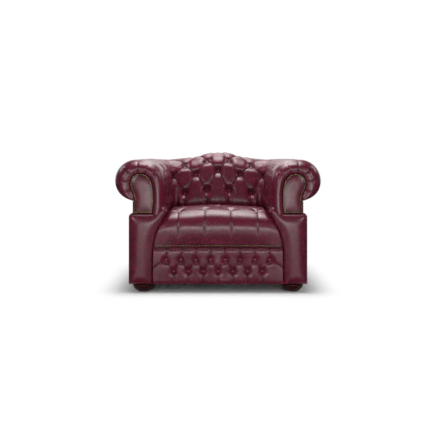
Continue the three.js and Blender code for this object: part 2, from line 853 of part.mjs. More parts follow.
// The dust cover: a sheet under the rails, stepped in round the feet.
function dustCover() {
  const x = sideRailX + boardThickness - dustCoverInset;
  const [y0, y1] = [postFrontY + dustCoverInset, rearRailY + boardThickness];
  const step = footRadius + dustCoverInset;
  const [inner, low, high] = [rearFootX - step, frontFootY + step, rearFootY - step];
  const right = [
    [inner, y0],
    [inner, low],
    [x, low],
    [x, high],
    [inner, high],
    [inner, y1],
  ];
  const outline = [...right, ...right.map(([px, py]) => [-px, py]).reverse()];
  return lyingPlate(outline, baseHeight + clearance, baseHeight + clearance + dustCoverThickness);
}

const same = (geometry) => geometry;
for (const [side, hand] of [
  ["right", same],
  ["left", mirrored],
]) {
  addPiece(`inside_arm_${side}`, hand(armPad()), leather);
  addPiece(`facing_${side}`, hand(standingPlate(facingOutline, facingY, coverRearY)), leather);
  addPiece(`arm_front_panel_${side}`, hand(frontPanel()), leather);
  addPiece(`outside_arm_${side}`, hand(outsideArm()), leather);
  addPiece(`facing_nail_trim_${side}`, hand(facingTrim()), brass);
  addPiece(`back_nail_trim_${side}`, hand(backTrim()), brass);
  addPiece(`front_post_${side}`, hand(standingPlate(postOutline, postFrontY, postRearY)), timber);
  addPiece(`rear_post_${side}`, hand(rearPost()), timber);
  addPiece(`arm_top_rail_${side}`, hand(armTopRail()), timber);
  const sideRail = [sideRailX, sideRailX + boardThickness, postRearY + clearance, rearPostY - clearance];
  addPiece(`side_rail_${side}`, hand(box(...sideRail, railBottom, railTop)), timber);
  const tackRail = [innerX + tackRailReach, innerX + tackRailReach + tackRailWidth];
  const tackEnds = [postRearY + clearance, tackRailY - clearance];
  const tackHeights = [tackRailTop - tackRailHeight, tackRailTop];
  addPiece(`arm_tacking_rail_${side}`, hand(box(...tackRail, ...tackEnds, ...tackHeights)), timber);
  addPiece(`front_corner_block_${side}`, hand(frontBlock()), timber);
  addPiece(`rear_corner_block_${side}`, hand(rearBlock()), timber);
  for (const [end, x, y] of [
    ["front", footX, frontFootY],
    ["rear", rearFootX, rearFootY],
  ]) {
    addPiece(`${end}_foot_${side}`, hand(foot().translate(x, y, 0)), darkWood);
    const bolt = new THREE.CylinderGeometry(boltRadius, boltRadius, boltLength, holeSides);
    bolt.rotateX(Math.PI / 2).translate(x, y, boltTop - boltLength / 2);
    addPiece(`${end}_foot_bolt_${side}`, hand(bolt), steel);
    const glide = new THREE.CylinderGeometry(glideRadius, glideRadius, glideThickness, footSides);
    glide.rotateX(Math.PI / 2).translate(x, y, glideThickness / 2);
    addPiece(`${end}_glide_${side}`, hand(glide), steel);
  }
}

addPiece("inside_back", backPad(), leather);
addPiece("seat_pad", seatPad(), leather);
addPiece("front_border", frontBorder(), leather);
addPiece("outside_back", outsideBack(), leather);
const trimShare = (frontTrimHeight + trimWidth - seatBottom) / (seatSection[1][1] - seatBottom);
const trimRearY = seatSection[0][0] + (seatSection[1][0] - seatSection[0][0]) * trimShare - clearance;
const trimX = wingX(frontTrimHeight) - trimWidth;
const trimHeights = [frontTrimHeight, frontTrimHeight + trimWidth];
addPiece("front_nail_trim", box(-trimX, trimX, trimRearY - trimThickness, trimRearY, ...trimHeights), brass);

const railX = postInnerX - clearance;
addPiece("front_rail", box(-railX, railX, postFrontY, postRearY, railBottom, railTop), timber);
const rearX = rearPostX - clearance;
const rearRail = [-rearX, rearX, rearRailY, rearRailY + boardThickness];
addPiece("rear_rail", box(...rearRail, railBottom, railBottom + rearRailHeight), timber);
const seatRailX = sideRailX - clearance;
const seatRail = [-seatRailX, seatRailX, seatRailY, seatRailY + boardThickness];
addPiece("seat_rear_rail", box(...seatRail, railTop - seatRailHeight, railTop), timber);
addPiece("back_top_rail", backTopRail(), timber);
const stileTop = place(stileWidth / 2, rearRailReach, railUnder).z - clearance * 2;
const stile = [-stileWidth / 2, stileWidth / 2, rearRailY, rearRailY + boardThickness];
addPiece("back_centre_stile", box(...stile, railBottom + rearRailHeight + clearance, stileTop), timber);
const backTack = [-rearX, rearX, tackRailY, tackRailY + tackRailWidth];
addPiece("back_tacking_rail", box(...backTack, tackRailTop - tackRailHeight, tackRailTop), timber);

const springGap = (2 * railX - springWidth * 2) / springCount;
for (let i = 0; i < springCount; i++) {
  addPiece(`seat_spring_${i + 1}`, spring((i - (springCount - 1) / 2) * springGap), steel);
}
const deckX = wingX(padBottomHeight) - clearance;
const deck = [-deckX, deckX, postFrontY, seatRailY + boardThickness];
addPiece("seat_deck", box(...deck, deckBottom, deckBottom + deckThickness), canvas);
const webInner = padDepth + clearance;
const webbing = strip(
  divided([-straightHalf, straightHalf], [8]),
  webInner,
  webInner + webbingThickness,
  padBottomHeight,
  railUnder - topRailThickness - clearance,
);
addPiece("back_webbing", webbing, canvas);
addPiece("dust_cover", dustCover(), cloth);

export default group;
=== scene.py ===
import math

import bmesh
import bpy
import numpy as np
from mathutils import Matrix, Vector


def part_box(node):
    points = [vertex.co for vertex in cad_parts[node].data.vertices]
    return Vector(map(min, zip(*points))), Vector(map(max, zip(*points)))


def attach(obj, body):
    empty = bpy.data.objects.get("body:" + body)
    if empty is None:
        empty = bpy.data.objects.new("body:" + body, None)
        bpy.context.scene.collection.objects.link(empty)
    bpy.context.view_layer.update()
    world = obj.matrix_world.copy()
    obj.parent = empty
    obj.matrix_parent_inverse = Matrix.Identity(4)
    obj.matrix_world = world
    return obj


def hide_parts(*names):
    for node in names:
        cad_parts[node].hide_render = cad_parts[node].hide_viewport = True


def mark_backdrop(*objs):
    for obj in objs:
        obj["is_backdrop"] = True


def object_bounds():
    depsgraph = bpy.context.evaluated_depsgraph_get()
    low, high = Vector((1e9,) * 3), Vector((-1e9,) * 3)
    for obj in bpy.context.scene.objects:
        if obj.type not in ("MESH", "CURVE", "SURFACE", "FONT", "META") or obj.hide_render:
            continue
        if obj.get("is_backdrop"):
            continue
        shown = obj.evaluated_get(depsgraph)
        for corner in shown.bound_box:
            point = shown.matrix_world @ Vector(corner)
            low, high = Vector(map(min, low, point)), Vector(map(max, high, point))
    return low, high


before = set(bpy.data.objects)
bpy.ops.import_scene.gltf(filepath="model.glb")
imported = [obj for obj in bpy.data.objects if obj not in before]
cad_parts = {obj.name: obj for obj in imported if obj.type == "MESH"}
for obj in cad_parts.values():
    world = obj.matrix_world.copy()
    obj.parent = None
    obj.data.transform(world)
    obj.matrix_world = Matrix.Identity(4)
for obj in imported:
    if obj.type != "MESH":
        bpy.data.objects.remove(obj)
cad_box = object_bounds()

# The chair stands in a white photographic studio, looked at square on from the height of its back.
# The camera is level, and its lens is shifted down to bring the whole chair into the frame.
camera_distance = 3.5
camera_height = 0.78
picture_size = 436
focal_pixels = 634
horizon_row = 152.5
sensor_mm = 36


def new_piece(name, data):
    piece = bpy.data.objects.new(name, data)
    bpy.context.scene.collection.objects.link(piece)
    return piece


camera_data = bpy.data.cameras.new("studio_camera")
camera_data.sensor_width = sensor_mm
camera_data.lens = focal_pixels / picture_size * sensor_mm
camera_data.shift_y = horizon_row / picture_size - 0.5
camera = new_piece("studio_camera", camera_data)
camera.location = (0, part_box("arm_front_panel_left")[0].y - camera_distance, camera_height)
camera.rotation_euler = (math.pi / 2, 0, 0)
bpy.context.scene.camera = camera
bpy.context.scene.view_settings.view_transform = "Standard"

# Floor and back wall of the studio: white paper, lit by the lamps near the chair and plain white further
# off. What looks at it directly or in a reflection sees paper white, and the chair's shadow stays.
floor_radius = 14.0
wall_distance = 13.0
wall_height = 7.8
wall_half_angle = math.radians(50)
wall_overlap = math.radians(6)
round_sides = 96
chair_footprint = (0.47, 0.38, 0)
shadow_reach = 0.24
paper_white = (0.88, 0.88, 0.88)


# Inputs are given numbers and colours, or the outputs of other nodes.
def set_inputs(owner, node, values):
    for key, value in values.items():
        if isinstance(value, bpy.types.NodeSocket):
            owner.node_tree.links.new(value, node.inputs[key])
        else:
            node.inputs[key].default_value = value


def add_node(owner, kind, inputs=None, **settings):
    node = owner.node_tree.nodes.new(f"ShaderNode{kind}")
    for key, value in settings.items():
        setattr(node, key, value)
    set_inputs(owner, node, inputs or {})
    return node


def maths(owner, operation, *values, kind="Math", output=0, **settings):
    node = add_node(owner, kind, dict(enumerate(values)), operation=operation, **settings)
    return node.outputs[output]


def faded(owner, value, start, end, low=0, high=1):
    inputs = {"Value": value, "From Min": start, "From Max": end, "To Min": low, "To Max": high}
    return add_node(owner, "MapRange", inputs, interpolation_type="SMOOTHSTEP").outputs[0]


def surface_of(finish):
    return finish.node_tree.nodes["Principled BSDF"]


# A plain finish is one set of numbers on the surface's own sockets.
def new_finish(name, colour, roughness, metallic=0.0, specular=0.5):
    finish = bpy.data.materials.new(name)
    finish.use_nodes = True
    plain = {"Base Color": (*colour, 1), "Roughness": roughness, "Metallic": metallic}
    set_inputs(finish, surface_of(finish), {**plain, "Specular IOR Level": specular})
    return finish


def make_paper():
    paper = new_finish("studio_paper", paper_white, 1.0, specular=0)
    place = add_node(paper, "TexCoord").outputs["Object"]
    either_side = maths(paper, "ABSOLUTE", place, kind="VectorMath")
    beyond = maths(paper, "SUBTRACT", either_side, chair_footprint, kind="VectorMath")
    outside = maths(paper, "MAXIMUM", beyond, (0, 0, 0), kind="VectorMath")
    length = maths(paper, "LENGTH", outside, kind="VectorMath", output="Value")
    ray = add_node(paper, "LightPath").outputs
    seen = maths(paper, "ADD", ray["Is Camera Ray"], ray["Is Glossy Ray"], use_clamp=True)
    seen = maths(paper, "ADD", seen, ray["Is Transmission Ray"], use_clamp=True)
    share = maths(paper, "MULTIPLY", faded(paper, length, 0, shadow_reach), seen)
    glow = add_node(paper, "Emission", {"Color": (1, 1, 1, 1), "Strength": 1}).outputs[0]
    blend = add_node(paper, "MixShader", {"Fac": share, 1: surface_of(paper).outputs[0], 2: glow})
    set_inputs(paper, paper.node_tree.nodes["Material Output"], {"Surface": blend.outputs[0]})
    return paper


studio_paper = make_paper()
bpy.ops.mesh.primitive_circle_add(vertices=round_sides, radius=floor_radius, fill_type="NGON")
floor = bpy.context.object
floor.name = "studio_floor"
floor.data.materials.append(studio_paper)


def paper_wall(name, behind):
    bpy.ops.mesh.primitive_circle_add(vertices=round_sides, radius=wall_distance, fill_type="NOTHING")
    wall = bpy.context.object
    wall.name = name
    bpy.ops.object.mode_set(mode="EDIT")
    edges = bmesh.from_edit_mesh(wall.data)
    for vertex in edges.verts:
        turn = math.atan2(abs(vertex.co.x), vertex.co.y)
        vertex.select = turn > wall_half_angle if behind else turn < wall_half_angle - wall_overlap
    edges.select_flush(True)
    bpy.ops.mesh.delete(type="VERT")
    bpy.ops.mesh.select_all(action="SELECT")
    bpy.ops.mesh.extrude_region_move(TRANSFORM_OT_translate={"value": (0, 0, wall_height)})
    bpy.ops.object.mode_set(mode="OBJECT")
    wall.data.materials.append(studio_paper)
    return wall


def unseen_by(piece, *rays):
    for ray in rays:
        setattr(piece, f"visible_{ray}", False)


# The wall behind the chair shows in the leather as a pale rim. The rest of it is seen only directly.
back_wall = paper_wall("studio_wall", True)
side_wall = paper_wall("studio_side_wall", False)
unseen_by(side_wall, "diffuse", "glossy", "shadow")

# Black cards on the paper at the sides, behind, and in the middle in front. Only glossy surfaces see them,
# so that the dark leather keeps its depth, as a photographer's flags do.
card_height = 0.004
card_reach = 9.0
card_half_width = 0.62
card_front_spread = 2.9
card_end = 0.50
card_step = 0.62
card_lip = 0.45
card_middle = 0.33
card_black = (0.01, 0.01, 0.01)


def rectangle(half_width, near, far):
    return [(-half_width, near), (half_width, near), (half_width, far), (-half_width, far)]


side_card = [
    (card_half_width, -card_end), (card_front_spread, -card_reach), (card_reach, -card_reach),
    (card_reach, card_reach), (card_half_width, card_reach),
]
card_shapes = [
    [(-x, y) for x, y in side_card],
    side_card,
    rectangle(card_half_width, card_end, card_reach),
    rectangle(card_middle, -card_reach, -card_step),
    rectangle(card_half_width, -card_step, -card_lip),
]
card_starts = np.cumsum([0] + [len(shape) for shape in card_shapes])
card_mesh = bpy.data.meshes.new("black_cards")
card_mesh.from_pydata(
    [(x, y, card_height) for shape in card_shapes for x, y in shape], [],
    [list(range(a, b)) for a, b in zip(card_starts[:-1], card_starts[1:])],
)
card = new_piece("black_cards", card_mesh)
card.data.materials.append(new_finish("black_card", card_black, 1.0))
unseen_by(card, "camera", "diffuse", "shadow")
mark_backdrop(floor, back_wall, side_wall, card)

# Studio lamps in a grey room: large soft boxes overhead and above the back, a low one in front of the
# chair, below the camera's view, an upright one at each side of it, and paler ones at the sides and behind.
room_grey = 0.10
room = bpy.data.worlds.new("studio_room")
room.use_nodes = True
set_inputs(room, room.node_tree.nodes["Background"], {"Color": (room_grey, room_grey, room_grey, 1)})
bpy.context.scene.world = room


# A soft box fades out towards its edges, over a share of its width and of its height.
def soft_box(name, place, target, size, radiance, edges=(0.3, 0.3)):
    lamp = bpy.data.lights.new(name, "AREA")
    lamp.shape = "RECTANGLE"
    lamp.size = size[0]
    lamp.size_y = size[1]
    lamp.energy = radiance * math.pi * size[0] * size[1]
    lamp.use_nodes = True
    where = add_node(lamp, "NewGeometry").outputs["Parametric"]
    across = add_node(lamp, "SeparateXYZ", {0: where}).outputs
    fades = []
    for axis, edge in enumerate(edges):
        away = maths(lamp, "ABSOLUTE", maths(lamp, "SUBTRACT", across[axis], 0.5))
        fades.append(faded(lamp, away, 0.5 - edge, 0.5, 1, 0))
    glow = next(node for node in lamp.node_tree.nodes if node.type == "EMISSION")
    set_inputs(lamp, glow, {"Strength": maths(lamp, "MULTIPLY", *fades)})
    box = new_piece(name, lamp)
    box.location = place
    box.rotation_euler = (Vector(target) - Vector(place)).to_track_quat("-Z", "Y").to_euler()
    unseen_by(box, "camera")


soft_box("overhead_box", (0, -0.1, 2.6), (0, -0.1, 0), size=(2.5, 3.0), radiance=11.0, edges=(0.4, 0.5))
soft_box("rear_top_box", (0, 1.5, 2.45), (0, -0.3, 0.45), size=(2.0, 2.2), radiance=5.0, edges=(0.4, 0.5))
soft_box("low_box", (0, -2.6, 0.43), (0, 0, 0.43), size=(2.1, 0.74), radiance=6.0)
for side in (-1, 1):
    soft_box("side_box", (side * 1.4, -2.3, 1.1), (0, 0, 0.5), size=(0.46, 0.9), radiance=12)
    soft_box("far_side_box", (side * 2.8, 0.5, 2.3), (0, 0, 0.4), size=(1.6, 1.1), radiance=5)
soft_box("rear_box", (0, 3.0, 0.38), (0, 0, 0.38), size=(2.2, 0.75), radiance=4.8)

# Inside back: a hardwood top rail and webbing, padded with hair and foam, under one hide of leather that is
# pulled down at every button to a grid of deep pleats. It rolls over the rail and is tacked under the roll.
# The arms are made in the same way and carry the roll on round the rear corners to the front.
chair_width = 1.150
chair_depth = 0.930
arm_height = 0.734
hump_height = 0.044
hump_half_width = 0.260
roll_radius = 0.112
roll_reach = 0.158
neck_reach = 0.170
pad_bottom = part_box("inside_back")[0].z
pad_depth = 0.080
corner_radius = 0.060
corner_squareness = 2.5
recline_depth = 0.045
recline_height = 0.240
recline_top = 0.620
gap = 0.0003

inner_x = chair_width / 2 - roll_reach - roll_radius
inner_y = chair_depth / 2 - roll_reach - roll_radius
roll_z = arm_height - roll_radius
straight_half = inner_x - corner_radius
corner_arc = corner_radius * math.pi / 2
mitre_t = straight_half + corner_arc / 2
arm_start_t = straight_half + corner_arc
tuft_width = mitre_t / 2


def smooth(x):
    x = np.clip(x, 0, 1)
    return x * x * (3 - 2 * x)


# A quarter round, 1 at the edge and 0 from one reach inward.
def quarter_round(away):
    return 1 - np.sqrt(1 - (1 - np.minimum(1, away)) ** 2)


# The place of a point of the padding: t along the inner line from the middle of the back, p outward
# from that line and z up.
def pad_place(t, p, z):
    side = np.where(np.asarray(t) < 0, -1.0, 1.0)
    along = np.abs(t)
    turn = np.clip((along - straight_half) / corner_arc, 0, 1) * math.pi / 2
    rise = np.clip((z - (recline_top - recline_height)) / recline_height, 0, 1)
    hump = hump_height * (1 + np.cos(math.pi * np.clip(along / hump_half_width, 0, 1))) / 2 * rise
    lean = recline_depth * np.clip((recline_top - z) / recline_height, 0, 1) * (1 - smooth(p / pad_depth))
    reach = p - lean * np.cos(turn) ** 2
    square = 2 + corner_squareness * smooth(reach / neck_reach)
    spread = (np.cos(turn) ** square + np.sin(turn) ** square) ** (-1 / square)
    corner = (corner_radius + reach) * spread
    x = np.minimum(along, straight_half) + corner * np.sin(turn)
    y = inner_y - corner_radius - np.maximum(0, along - arm_start_t) + corner * np.cos(turn)
    return np.stack(np.broadcast_arrays(side * x, y, z + hump), axis=-1)


# How far along the padding's inner line a depth in the room lies on an arm.
def arm_t(y):
    return arm_start_t + (inner_y - corner_radius) - y


def arc_lengths(line):
    return np.concatenate([[0], np.cumsum(np.linalg.norm(np.diff(line, axis=0), axis=1))])


def columns_at(where, places, line):
    return [np.interp(where, places, column) for column in line.T]


def spread_evenly(line, count):
    arcs = arc_lengths(line)
    return np.stack(columns_at(np.linspace(0, arcs[-1], count), arcs, line), axis=1)


# An even curve through a few points, as many points on it as asked for, evenly spaced.
def curve_through(points, count, steps=24):
    points = np.array(points, float)
    points = np.vstack([2 * points[0] - points[1], points, 2 * points[-1] - points[-2]])
    curve = []
    for a, b, c, d in zip(points, points[1:], points[2:], points[3:]):
        ta, tb, tc, td = np.cumsum([0] + [np.linalg.norm(v) ** 0.5 for v in (b - a, c - b, d - c)])
        for u in np.linspace(tb, tc, steps, endpoint=False):
            ab = a + (b - a) * (u - ta) / (tb - ta)
            bc = b + (c - b) * (u - tb) / (tc - tb)
            cd = c + (d - c) * (u - tc) / (td - tc)
            abc = ab + (bc - ab) * (u - ta) / (tc - ta)
            bcd = bc + (cd - bc) * (u - tb) / (td - tb)
            curve.append(abc + (bcd - abc) * (u - tb) / (tc - tb))
    return spread_evenly(np.array(curve + [points[-2]]), count)


# Section of the padding, from the bottom edge of its face up and over the roll to the neck under it, as
# shares of the reach to the roll's middle and of the height of the face.
face_shares = [
    (0.06, 0), (-0.055, 0.18), (-0.055, 0.36), (-0.03, 0.6), (0.03, 0.75),
    (0.16, 0.868), (0.42, 0.964), (0.67, 0.997), (1, 1),
]
face_points = 400
face_line = [(p * roll_reach, pad_bottom + z * (arm_height - pad_bottom)) for p, z in face_shares]
face_curve = curve_through(face_line, face_points)
face_length = arc_lengths(face_curve)[-1]
neck_angle = math.acos((neck_reach - roll_reach) / roll_radius)
section_length = face_length + roll_radius * (math.pi / 2 + neck_angle)
neck_z = roll_z - roll_radius * math.sin(neck_angle)


def section_point(r):
    share = np.clip(r / face_length, 0, 1) * (face_points - 1)
    face = columns_at(share, np.arange(face_points), face_curve)
    angle = math.pi / 2 - (r - face_length) / roll_radius
    roll = [roll_reach + roll_radius * np.cos(angle), roll_z + roll_radius * np.sin(angle)]
    return np.where(r <= face_length, face[0], roll[0]), np.where(r <= face_length, face[1], roll[1])


def section_normal(r):
    step = roll_radius / 50
    p0, z0 = section_point(np.maximum(r - step, 0))
    p1, z1 = section_point(np.minimum(r + step, section_length))
    length = np.hypot(p1 - p0, z1 - z0)
    return -(z1 - z0) / length, (p1 - p0) / length


# Rows of buttons up the section. Odd rows lie half a tuft over from even ones.
row_shares = [0.146, 0.284, 0.385, 0.53, 0.675]
rows = [share * section_length for share in row_shares]
last_column = 5
last_button_t = last_column * tuft_width
facing_y = -chair_depth / 2 + 0.020
ring_width = 0.076
ring_start_t = arm_t(facing_y + ring_width)
ring_bulge = 0.081
ring_fold = 1.33
ring_degrees = [154, 129, 97, 47, 5.5, -39]


# How far up the section it is seen in a direction from the middle of the roll.
def section_at(degrees):
    angle = math.radians(degrees)
    if angle <= math.pi / 2:
        return face_length + roll_radius * (math.pi / 2 - angle)
    tries = np.linspace(face_length / 2, face_length, face_points)
    p, z = section_point(tries)
    return tries[np.argmin(np.abs(np.arctan2(z - roll_z, p - roll_reach) - angle))]


ring_pleats = [section_at(degrees) for degrees in ring_degrees]


# Where the buttons and the pleats between them lie, in t and r.
def row_columns(row):
    start = 0.5 if row % 2 == 0 else 0
    columns = [k + start for k in range(-last_column - 1, last_column + 1)]
    return [k * tuft_width for k in columns if abs(k) <= last_column]


pad_buttons = [(t, rows[row]) for row in range(len(rows)) for t in row_columns(row)]


def pad_pleats():
    lines = [(t, 0, t, rows[0]) for t in row_columns(0)]
    lines += [(t, rows[-1], t, section_length) for t in row_columns(len(rows) - 1)]
    for row, (low, high) in enumerate(zip(rows, rows[1:])):
        for t in row_columns(row):
            for turned in (t - tuft_width / 2, t + tuft_width / 2):
                if abs(turned) <= last_button_t + gap:
                    lines.append((t, low, turned, high))
    for side in (-1, 1):
        for row, ring in ((1, 0), (3, 2)):
            lines.append((side * last_button_t, rows[row], side * ring_start_t, ring_pleats[ring]))
    return lines


pleats = pad_pleats()
tuft_depth = 0.036
pleat_share = 0.16
roll_pleat_share = 0.08
tuft_swell = 0.005
funnel_share = 0.82
funnel_crease = 0.20
fold_share = 0.07
fold_width = 0.11
crease_width = 0.07
widest_fold = 0.030
pleat_yield = 0.3


def bell(away, width):
    return np.exp(-((away / width) ** 2))


# How far the leather is pulled in, and how deep in a crease a point lies, which sets the painted shade in the
# leather's colour. A button draws a wide funnel, and a pleat is a shallower groove with a sharp fold at its
# bottom, deepest near its buttons.
def tufted(x, y, lines, buttons, depth, funnel, groove, share=0.10):
    crease, button_pull, pleat_pull = np.zeros((3, *np.shape(x)))
    for bx, by in buttons:
        away = np.hypot(x - bx, y - by) / funnel
        button_pull = np.maximum(button_pull, (1 - np.minimum(1, away)) ** 2)
        crease = np.maximum(crease, bell(away, funnel_crease))
    fold_reach = min(groove, widest_fold)
    for x0, y0, x1, y1 in lines:
        along = ((x - x0) * (x1 - x0) + (y - y0) * (y1 - y0)) / ((x1 - x0) ** 2 + (y1 - y0) ** 2)
        along = np.clip(along, 0, 1)
        away = np.hypot(x - x0 - along * (x1 - x0), y - y0 - along * (y1 - y0))
        wide = (1 - np.minimum(1, away / groove)) ** 2
        pull = share * wide + fold_share * bell(away, fold_reach * fold_width)
        pleat_pull = np.maximum(pleat_pull, pull)
        crease = np.maximum(crease, bell(away, fold_reach * crease_width))
    return depth * (button_pull * funnel_share + pleat_pull * (1 - pleat_yield * button_pull)), crease


# The pleats are deep between the rows of buttons, and shallow where they run on over the roll.
def pad_tufts(t, r, buttons):
    over = smooth((r - rows[-1] + tuft_depth) / (tuft_depth * 2))
    share = pleat_share + (roll_pleat_share - pleat_share) * over
    return tufted(t, r, pleats, buttons, depth=tuft_depth, funnel=0.050, groove=0.042, share=share)


# Small wrinkles that run out from each button, where the leather is drawn in.
def button_wrinkles(x, y, buttons, seed, reach=0.026, depth=0.0006, smooth_centre=0.008):
    random = np.random.default_rng(seed)
    wrinkle = np.zeros(np.shape(x))
    for bx, by in buttons:
        away = np.hypot(x - bx, y - by)
        around = np.arctan2(y - by, x - bx)
        count = random.integers(low=7, high=12)
        turn = random.uniform(0, 2 * math.pi)
        waves = np.cos(count * around + turn) + 0.5 * np.cos((count + 4) * around - turn * 3)
        wrinkle += depth * waves * bell(away, reach) * smooth(away / smooth_centre)
    return wrinkle


# Slight unevenness of hand stuffing, a millimetre or so over a hand's width.
def hand_stuffed(points, depth=0.0009, size=0.075, seed=1, waves=14):
    random = np.random.default_rng(seed)
    uneven = np.zeros(points.shape[:-1])
    for _ in range(waves):
        direction = random.normal(size=3)
        direction /= np.linalg.norm(direction)
        phase = random.uniform(0, 2 * math.pi)
        uneven += np.sin(points @ direction / (size * random.uniform(low=0.5, high=1.4)) * 2 + phase)
    return depth * uneven / 3


# A closed form from rings of points. Faces are split along the pleats, which run corner to corner.
# Where the crease or the split isn't given, there is none.
none = np.zeros((0, 0))


def padded_form(name, rings, crease=none, split=none, last_face=True):
    count, size = rings.shape[:2]
    creases, splits = np.zeros((2, count, size), np.float32)
    creases[: crease.shape[0], : crease.shape[1]] = crease
    splits[: split.shape[0], : split.shape[1]] = split
    splits[:, -1] = 0
    faces = []
    for i in range(count - 1):
        for j in range(size):
            a, b = i * size + j, i * size + (j + 1) % size
            c, d = a + size, b + size
            faces += [(a, c, d), (a, d, b)] if splits[i, j] else [(a, c, b), (b, c, d)]
    faces.append(tuple(range(size)))
    if last_face:
        faces.append(tuple(range((count - 1) * size, count * size))[::-1])
    mesh = bpy.data.meshes.new(name)
    mesh.from_pydata(rings.reshape(-1, 3).tolist(), [], faces)
    mesh.attributes.new("crease", "FLOAT", "POINT").data.foreach_set("value", creases.reshape(-1))
    shape = bmesh.new()
    shape.from_mesh(mesh)
    bmesh.ops.remove_doubles(shape, verts=shape.verts, dist=0.00002)
    flat_ends = [face for face in shape.faces if len(face.verts) > 4]
    bmesh.ops.triangulate(shape, faces=flat_ends, ngon_method="EAR_CLIP")
    bmesh.ops.recalc_face_normals(shape, faces=shape.faces)
    shape.to_mesh(mesh)
    shape.free()
    mesh.shade_smooth()
    return new_piece(name, mesh)


def stepped(stops, counts):
    parts = [np.linspace(a, b, n, endpoint=False) for a, b, n in zip(stops, stops[1:], counts)]
    return np.concatenate(parts + [[stops[-1]]])


# Lining: behind the face, over the top rail and down its outside.
rail_inner = 0.095
rail_outer = 0.160
rail_height = 0.030
lining = [
    (rail_outer + gap, neck_z + gap),
    (rail_outer + gap, neck_z + rail_height + gap * 2),
    (rail_inner - gap, neck_z + rail_height + gap * 2),
    (rail_inner - gap, neck_z + gap),
    (pad_depth, neck_z - rail_height),
    (pad_depth, pad_bottom),
]
tuft_steps = 22
low_steps = 26
roll_steps = 52
section_steps = stepped([0, *rows, section_length], [low_steps] + [tuft_steps] * 4 + [roll_steps])
tack_fade = smooth((section_length - section_steps) / roll_radius)
gather_start = math.radians(20)
gather_turn = math.radians(35)


# One stretch of padding over a line of stops. The turns fold it in at the front of an arm, round the roll,
# where the pleats of the gathered ring take over from those of the tufts.
def pad_rings(stops, seed, turns=0.0):
    t, r = np.meshgrid(stops, section_steps, indexing="ij")
    buttons = [b for b in pad_buttons if min(stops) - tuft_width < b[0] < max(stops) + tuft_width]
    pulled, crease = pad_tufts(t, r, buttons)
    to_ring = smooth((abs(t) - last_button_t) / (ring_start_t - last_button_t))
    gathered = smooth((turns - gather_start) / gather_turn)
    lines = [(0, pleat, 1, pleat) for pleat in ring_pleats]
    middle = np.full(t.shape, 0.5)
    ring_pulled, ring_crease = tufted(middle, r, lines, [], depth=0.030, funnel=1, groove=0.016)
    pulled = pulled * (1 - to_ring) + ring_pulled * gathered
    crease = np.maximum(crease * (1 - to_ring), ring_crease * gathered)
    p, z = section_point(r)
    out_p, out_z = section_normal(r)
    sunk = (tuft_swell - pulled) * tack_fade + button_wrinkles(t, r, buttons, seed)
    sunk = sunk + hand_stuffed(pad_place(t, p, z)) * tack_fade
    upright = sunk * np.cos(turns)
    t = t + np.sign(t) * sunk * np.sin(turns)
    return t, p + out_p * upright, z + out_z * upright, crease * tack_fade


# The row and column of each quad say which way it is split, so that the edges of the mesh lie in the pleats.
def pleat_split(stops):
    columns = np.arange(len(stops) - 1) // tuft_steps
    bands = np.searchsorted(rows, section_steps[:-1] + gap)
    return (columns[:, None] + bands[None, :]) % 2 == 0


# Even steps between tufts, with steps of their own from the outer ones to the sides.
def over_tufts(half_width, tufts, side_steps, tuft_steps):
    counts = [side_steps] + [tuft_steps] * (len(tufts) - 1) + [side_steps]
    return stepped([-half_width, *tufts, half_width], counts)


def with_lining(t, face):
    return np.concatenate([face, np.stack([pad_place(t, p, z) for p, z in lining], axis=1)], axis=1)


back_stops = stepped([k * tuft_width / 2 for k in range(-4, 5)], [tuft_steps] * 8)
t, p, z, crease = pad_rings(back_stops, seed=3)
rings = with_lining(back_stops, pad_place(t, p, z))
mitre_gap = gap / 2 * math.sqrt(0.5)
rings[0] += (mitre_gap, mitre_gap, 0)
rings[-1] += (-mitre_gap, mitre_gap, 0)
inside_back = padded_form("buttoned_inside_back", rings, crease, pleat_split(back_stops))


# Antique oxblood leather: dark red hide with a rubbed two-tone finish and fine pores, polished to a soft
# gloss.
# Its creases, button funnels and lines of nails are painted darker, as painted shade.
oxblood = (0.092, 0.0055, 0.0200)
rubbed = (0.138, 0.0095, 0.0300)
painted_crease_shade = (0.026, 0.0030, 0.007)
speck_tone = (0.62, 0.60, 0.62)
clear = (1, 1, 1)


def noise(finish, where, scale, detail, **inputs):
    values = {"Vector": where, "Scale": scale, "Detail": detail, **inputs}
    return add_node(finish, "TexNoise", values).outputs["Fac"]


def ramp_between(finish, factor, low, high, low_value=(0, 0, 0), high_value=clear):
    ramp = add_node(finish, "ValToRGB", {"Fac": factor})
    for stop, position, value in zip(ramp.color_ramp.elements, (low, high), (low_value, high_value)):
        stop.position = position
        stop.color = (*value, 1)
    return ramp.outputs["Color"]


def colour_of(value):
    return value if isinstance(value, bpy.types.NodeSocket) else (*value, 1)


def mixed(finish, factor, first, second, blend="MIX"):
    inputs = {"Factor": factor, 6: colour_of(first), 7: colour_of(second)}
    return add_node(finish, "Mix", inputs, data_type="RGBA", blend_type=blend).outputs[2]


def relief(finish, height, strength, distance, **under):
    values = {"Height": height, "Strength": strength, "Distance": distance, **under}
    return add_node(finish, "Bump", values).outputs["Normal"]


def object_place(finish):
    return add_node(finish, "TexCoord").outputs["Object"]


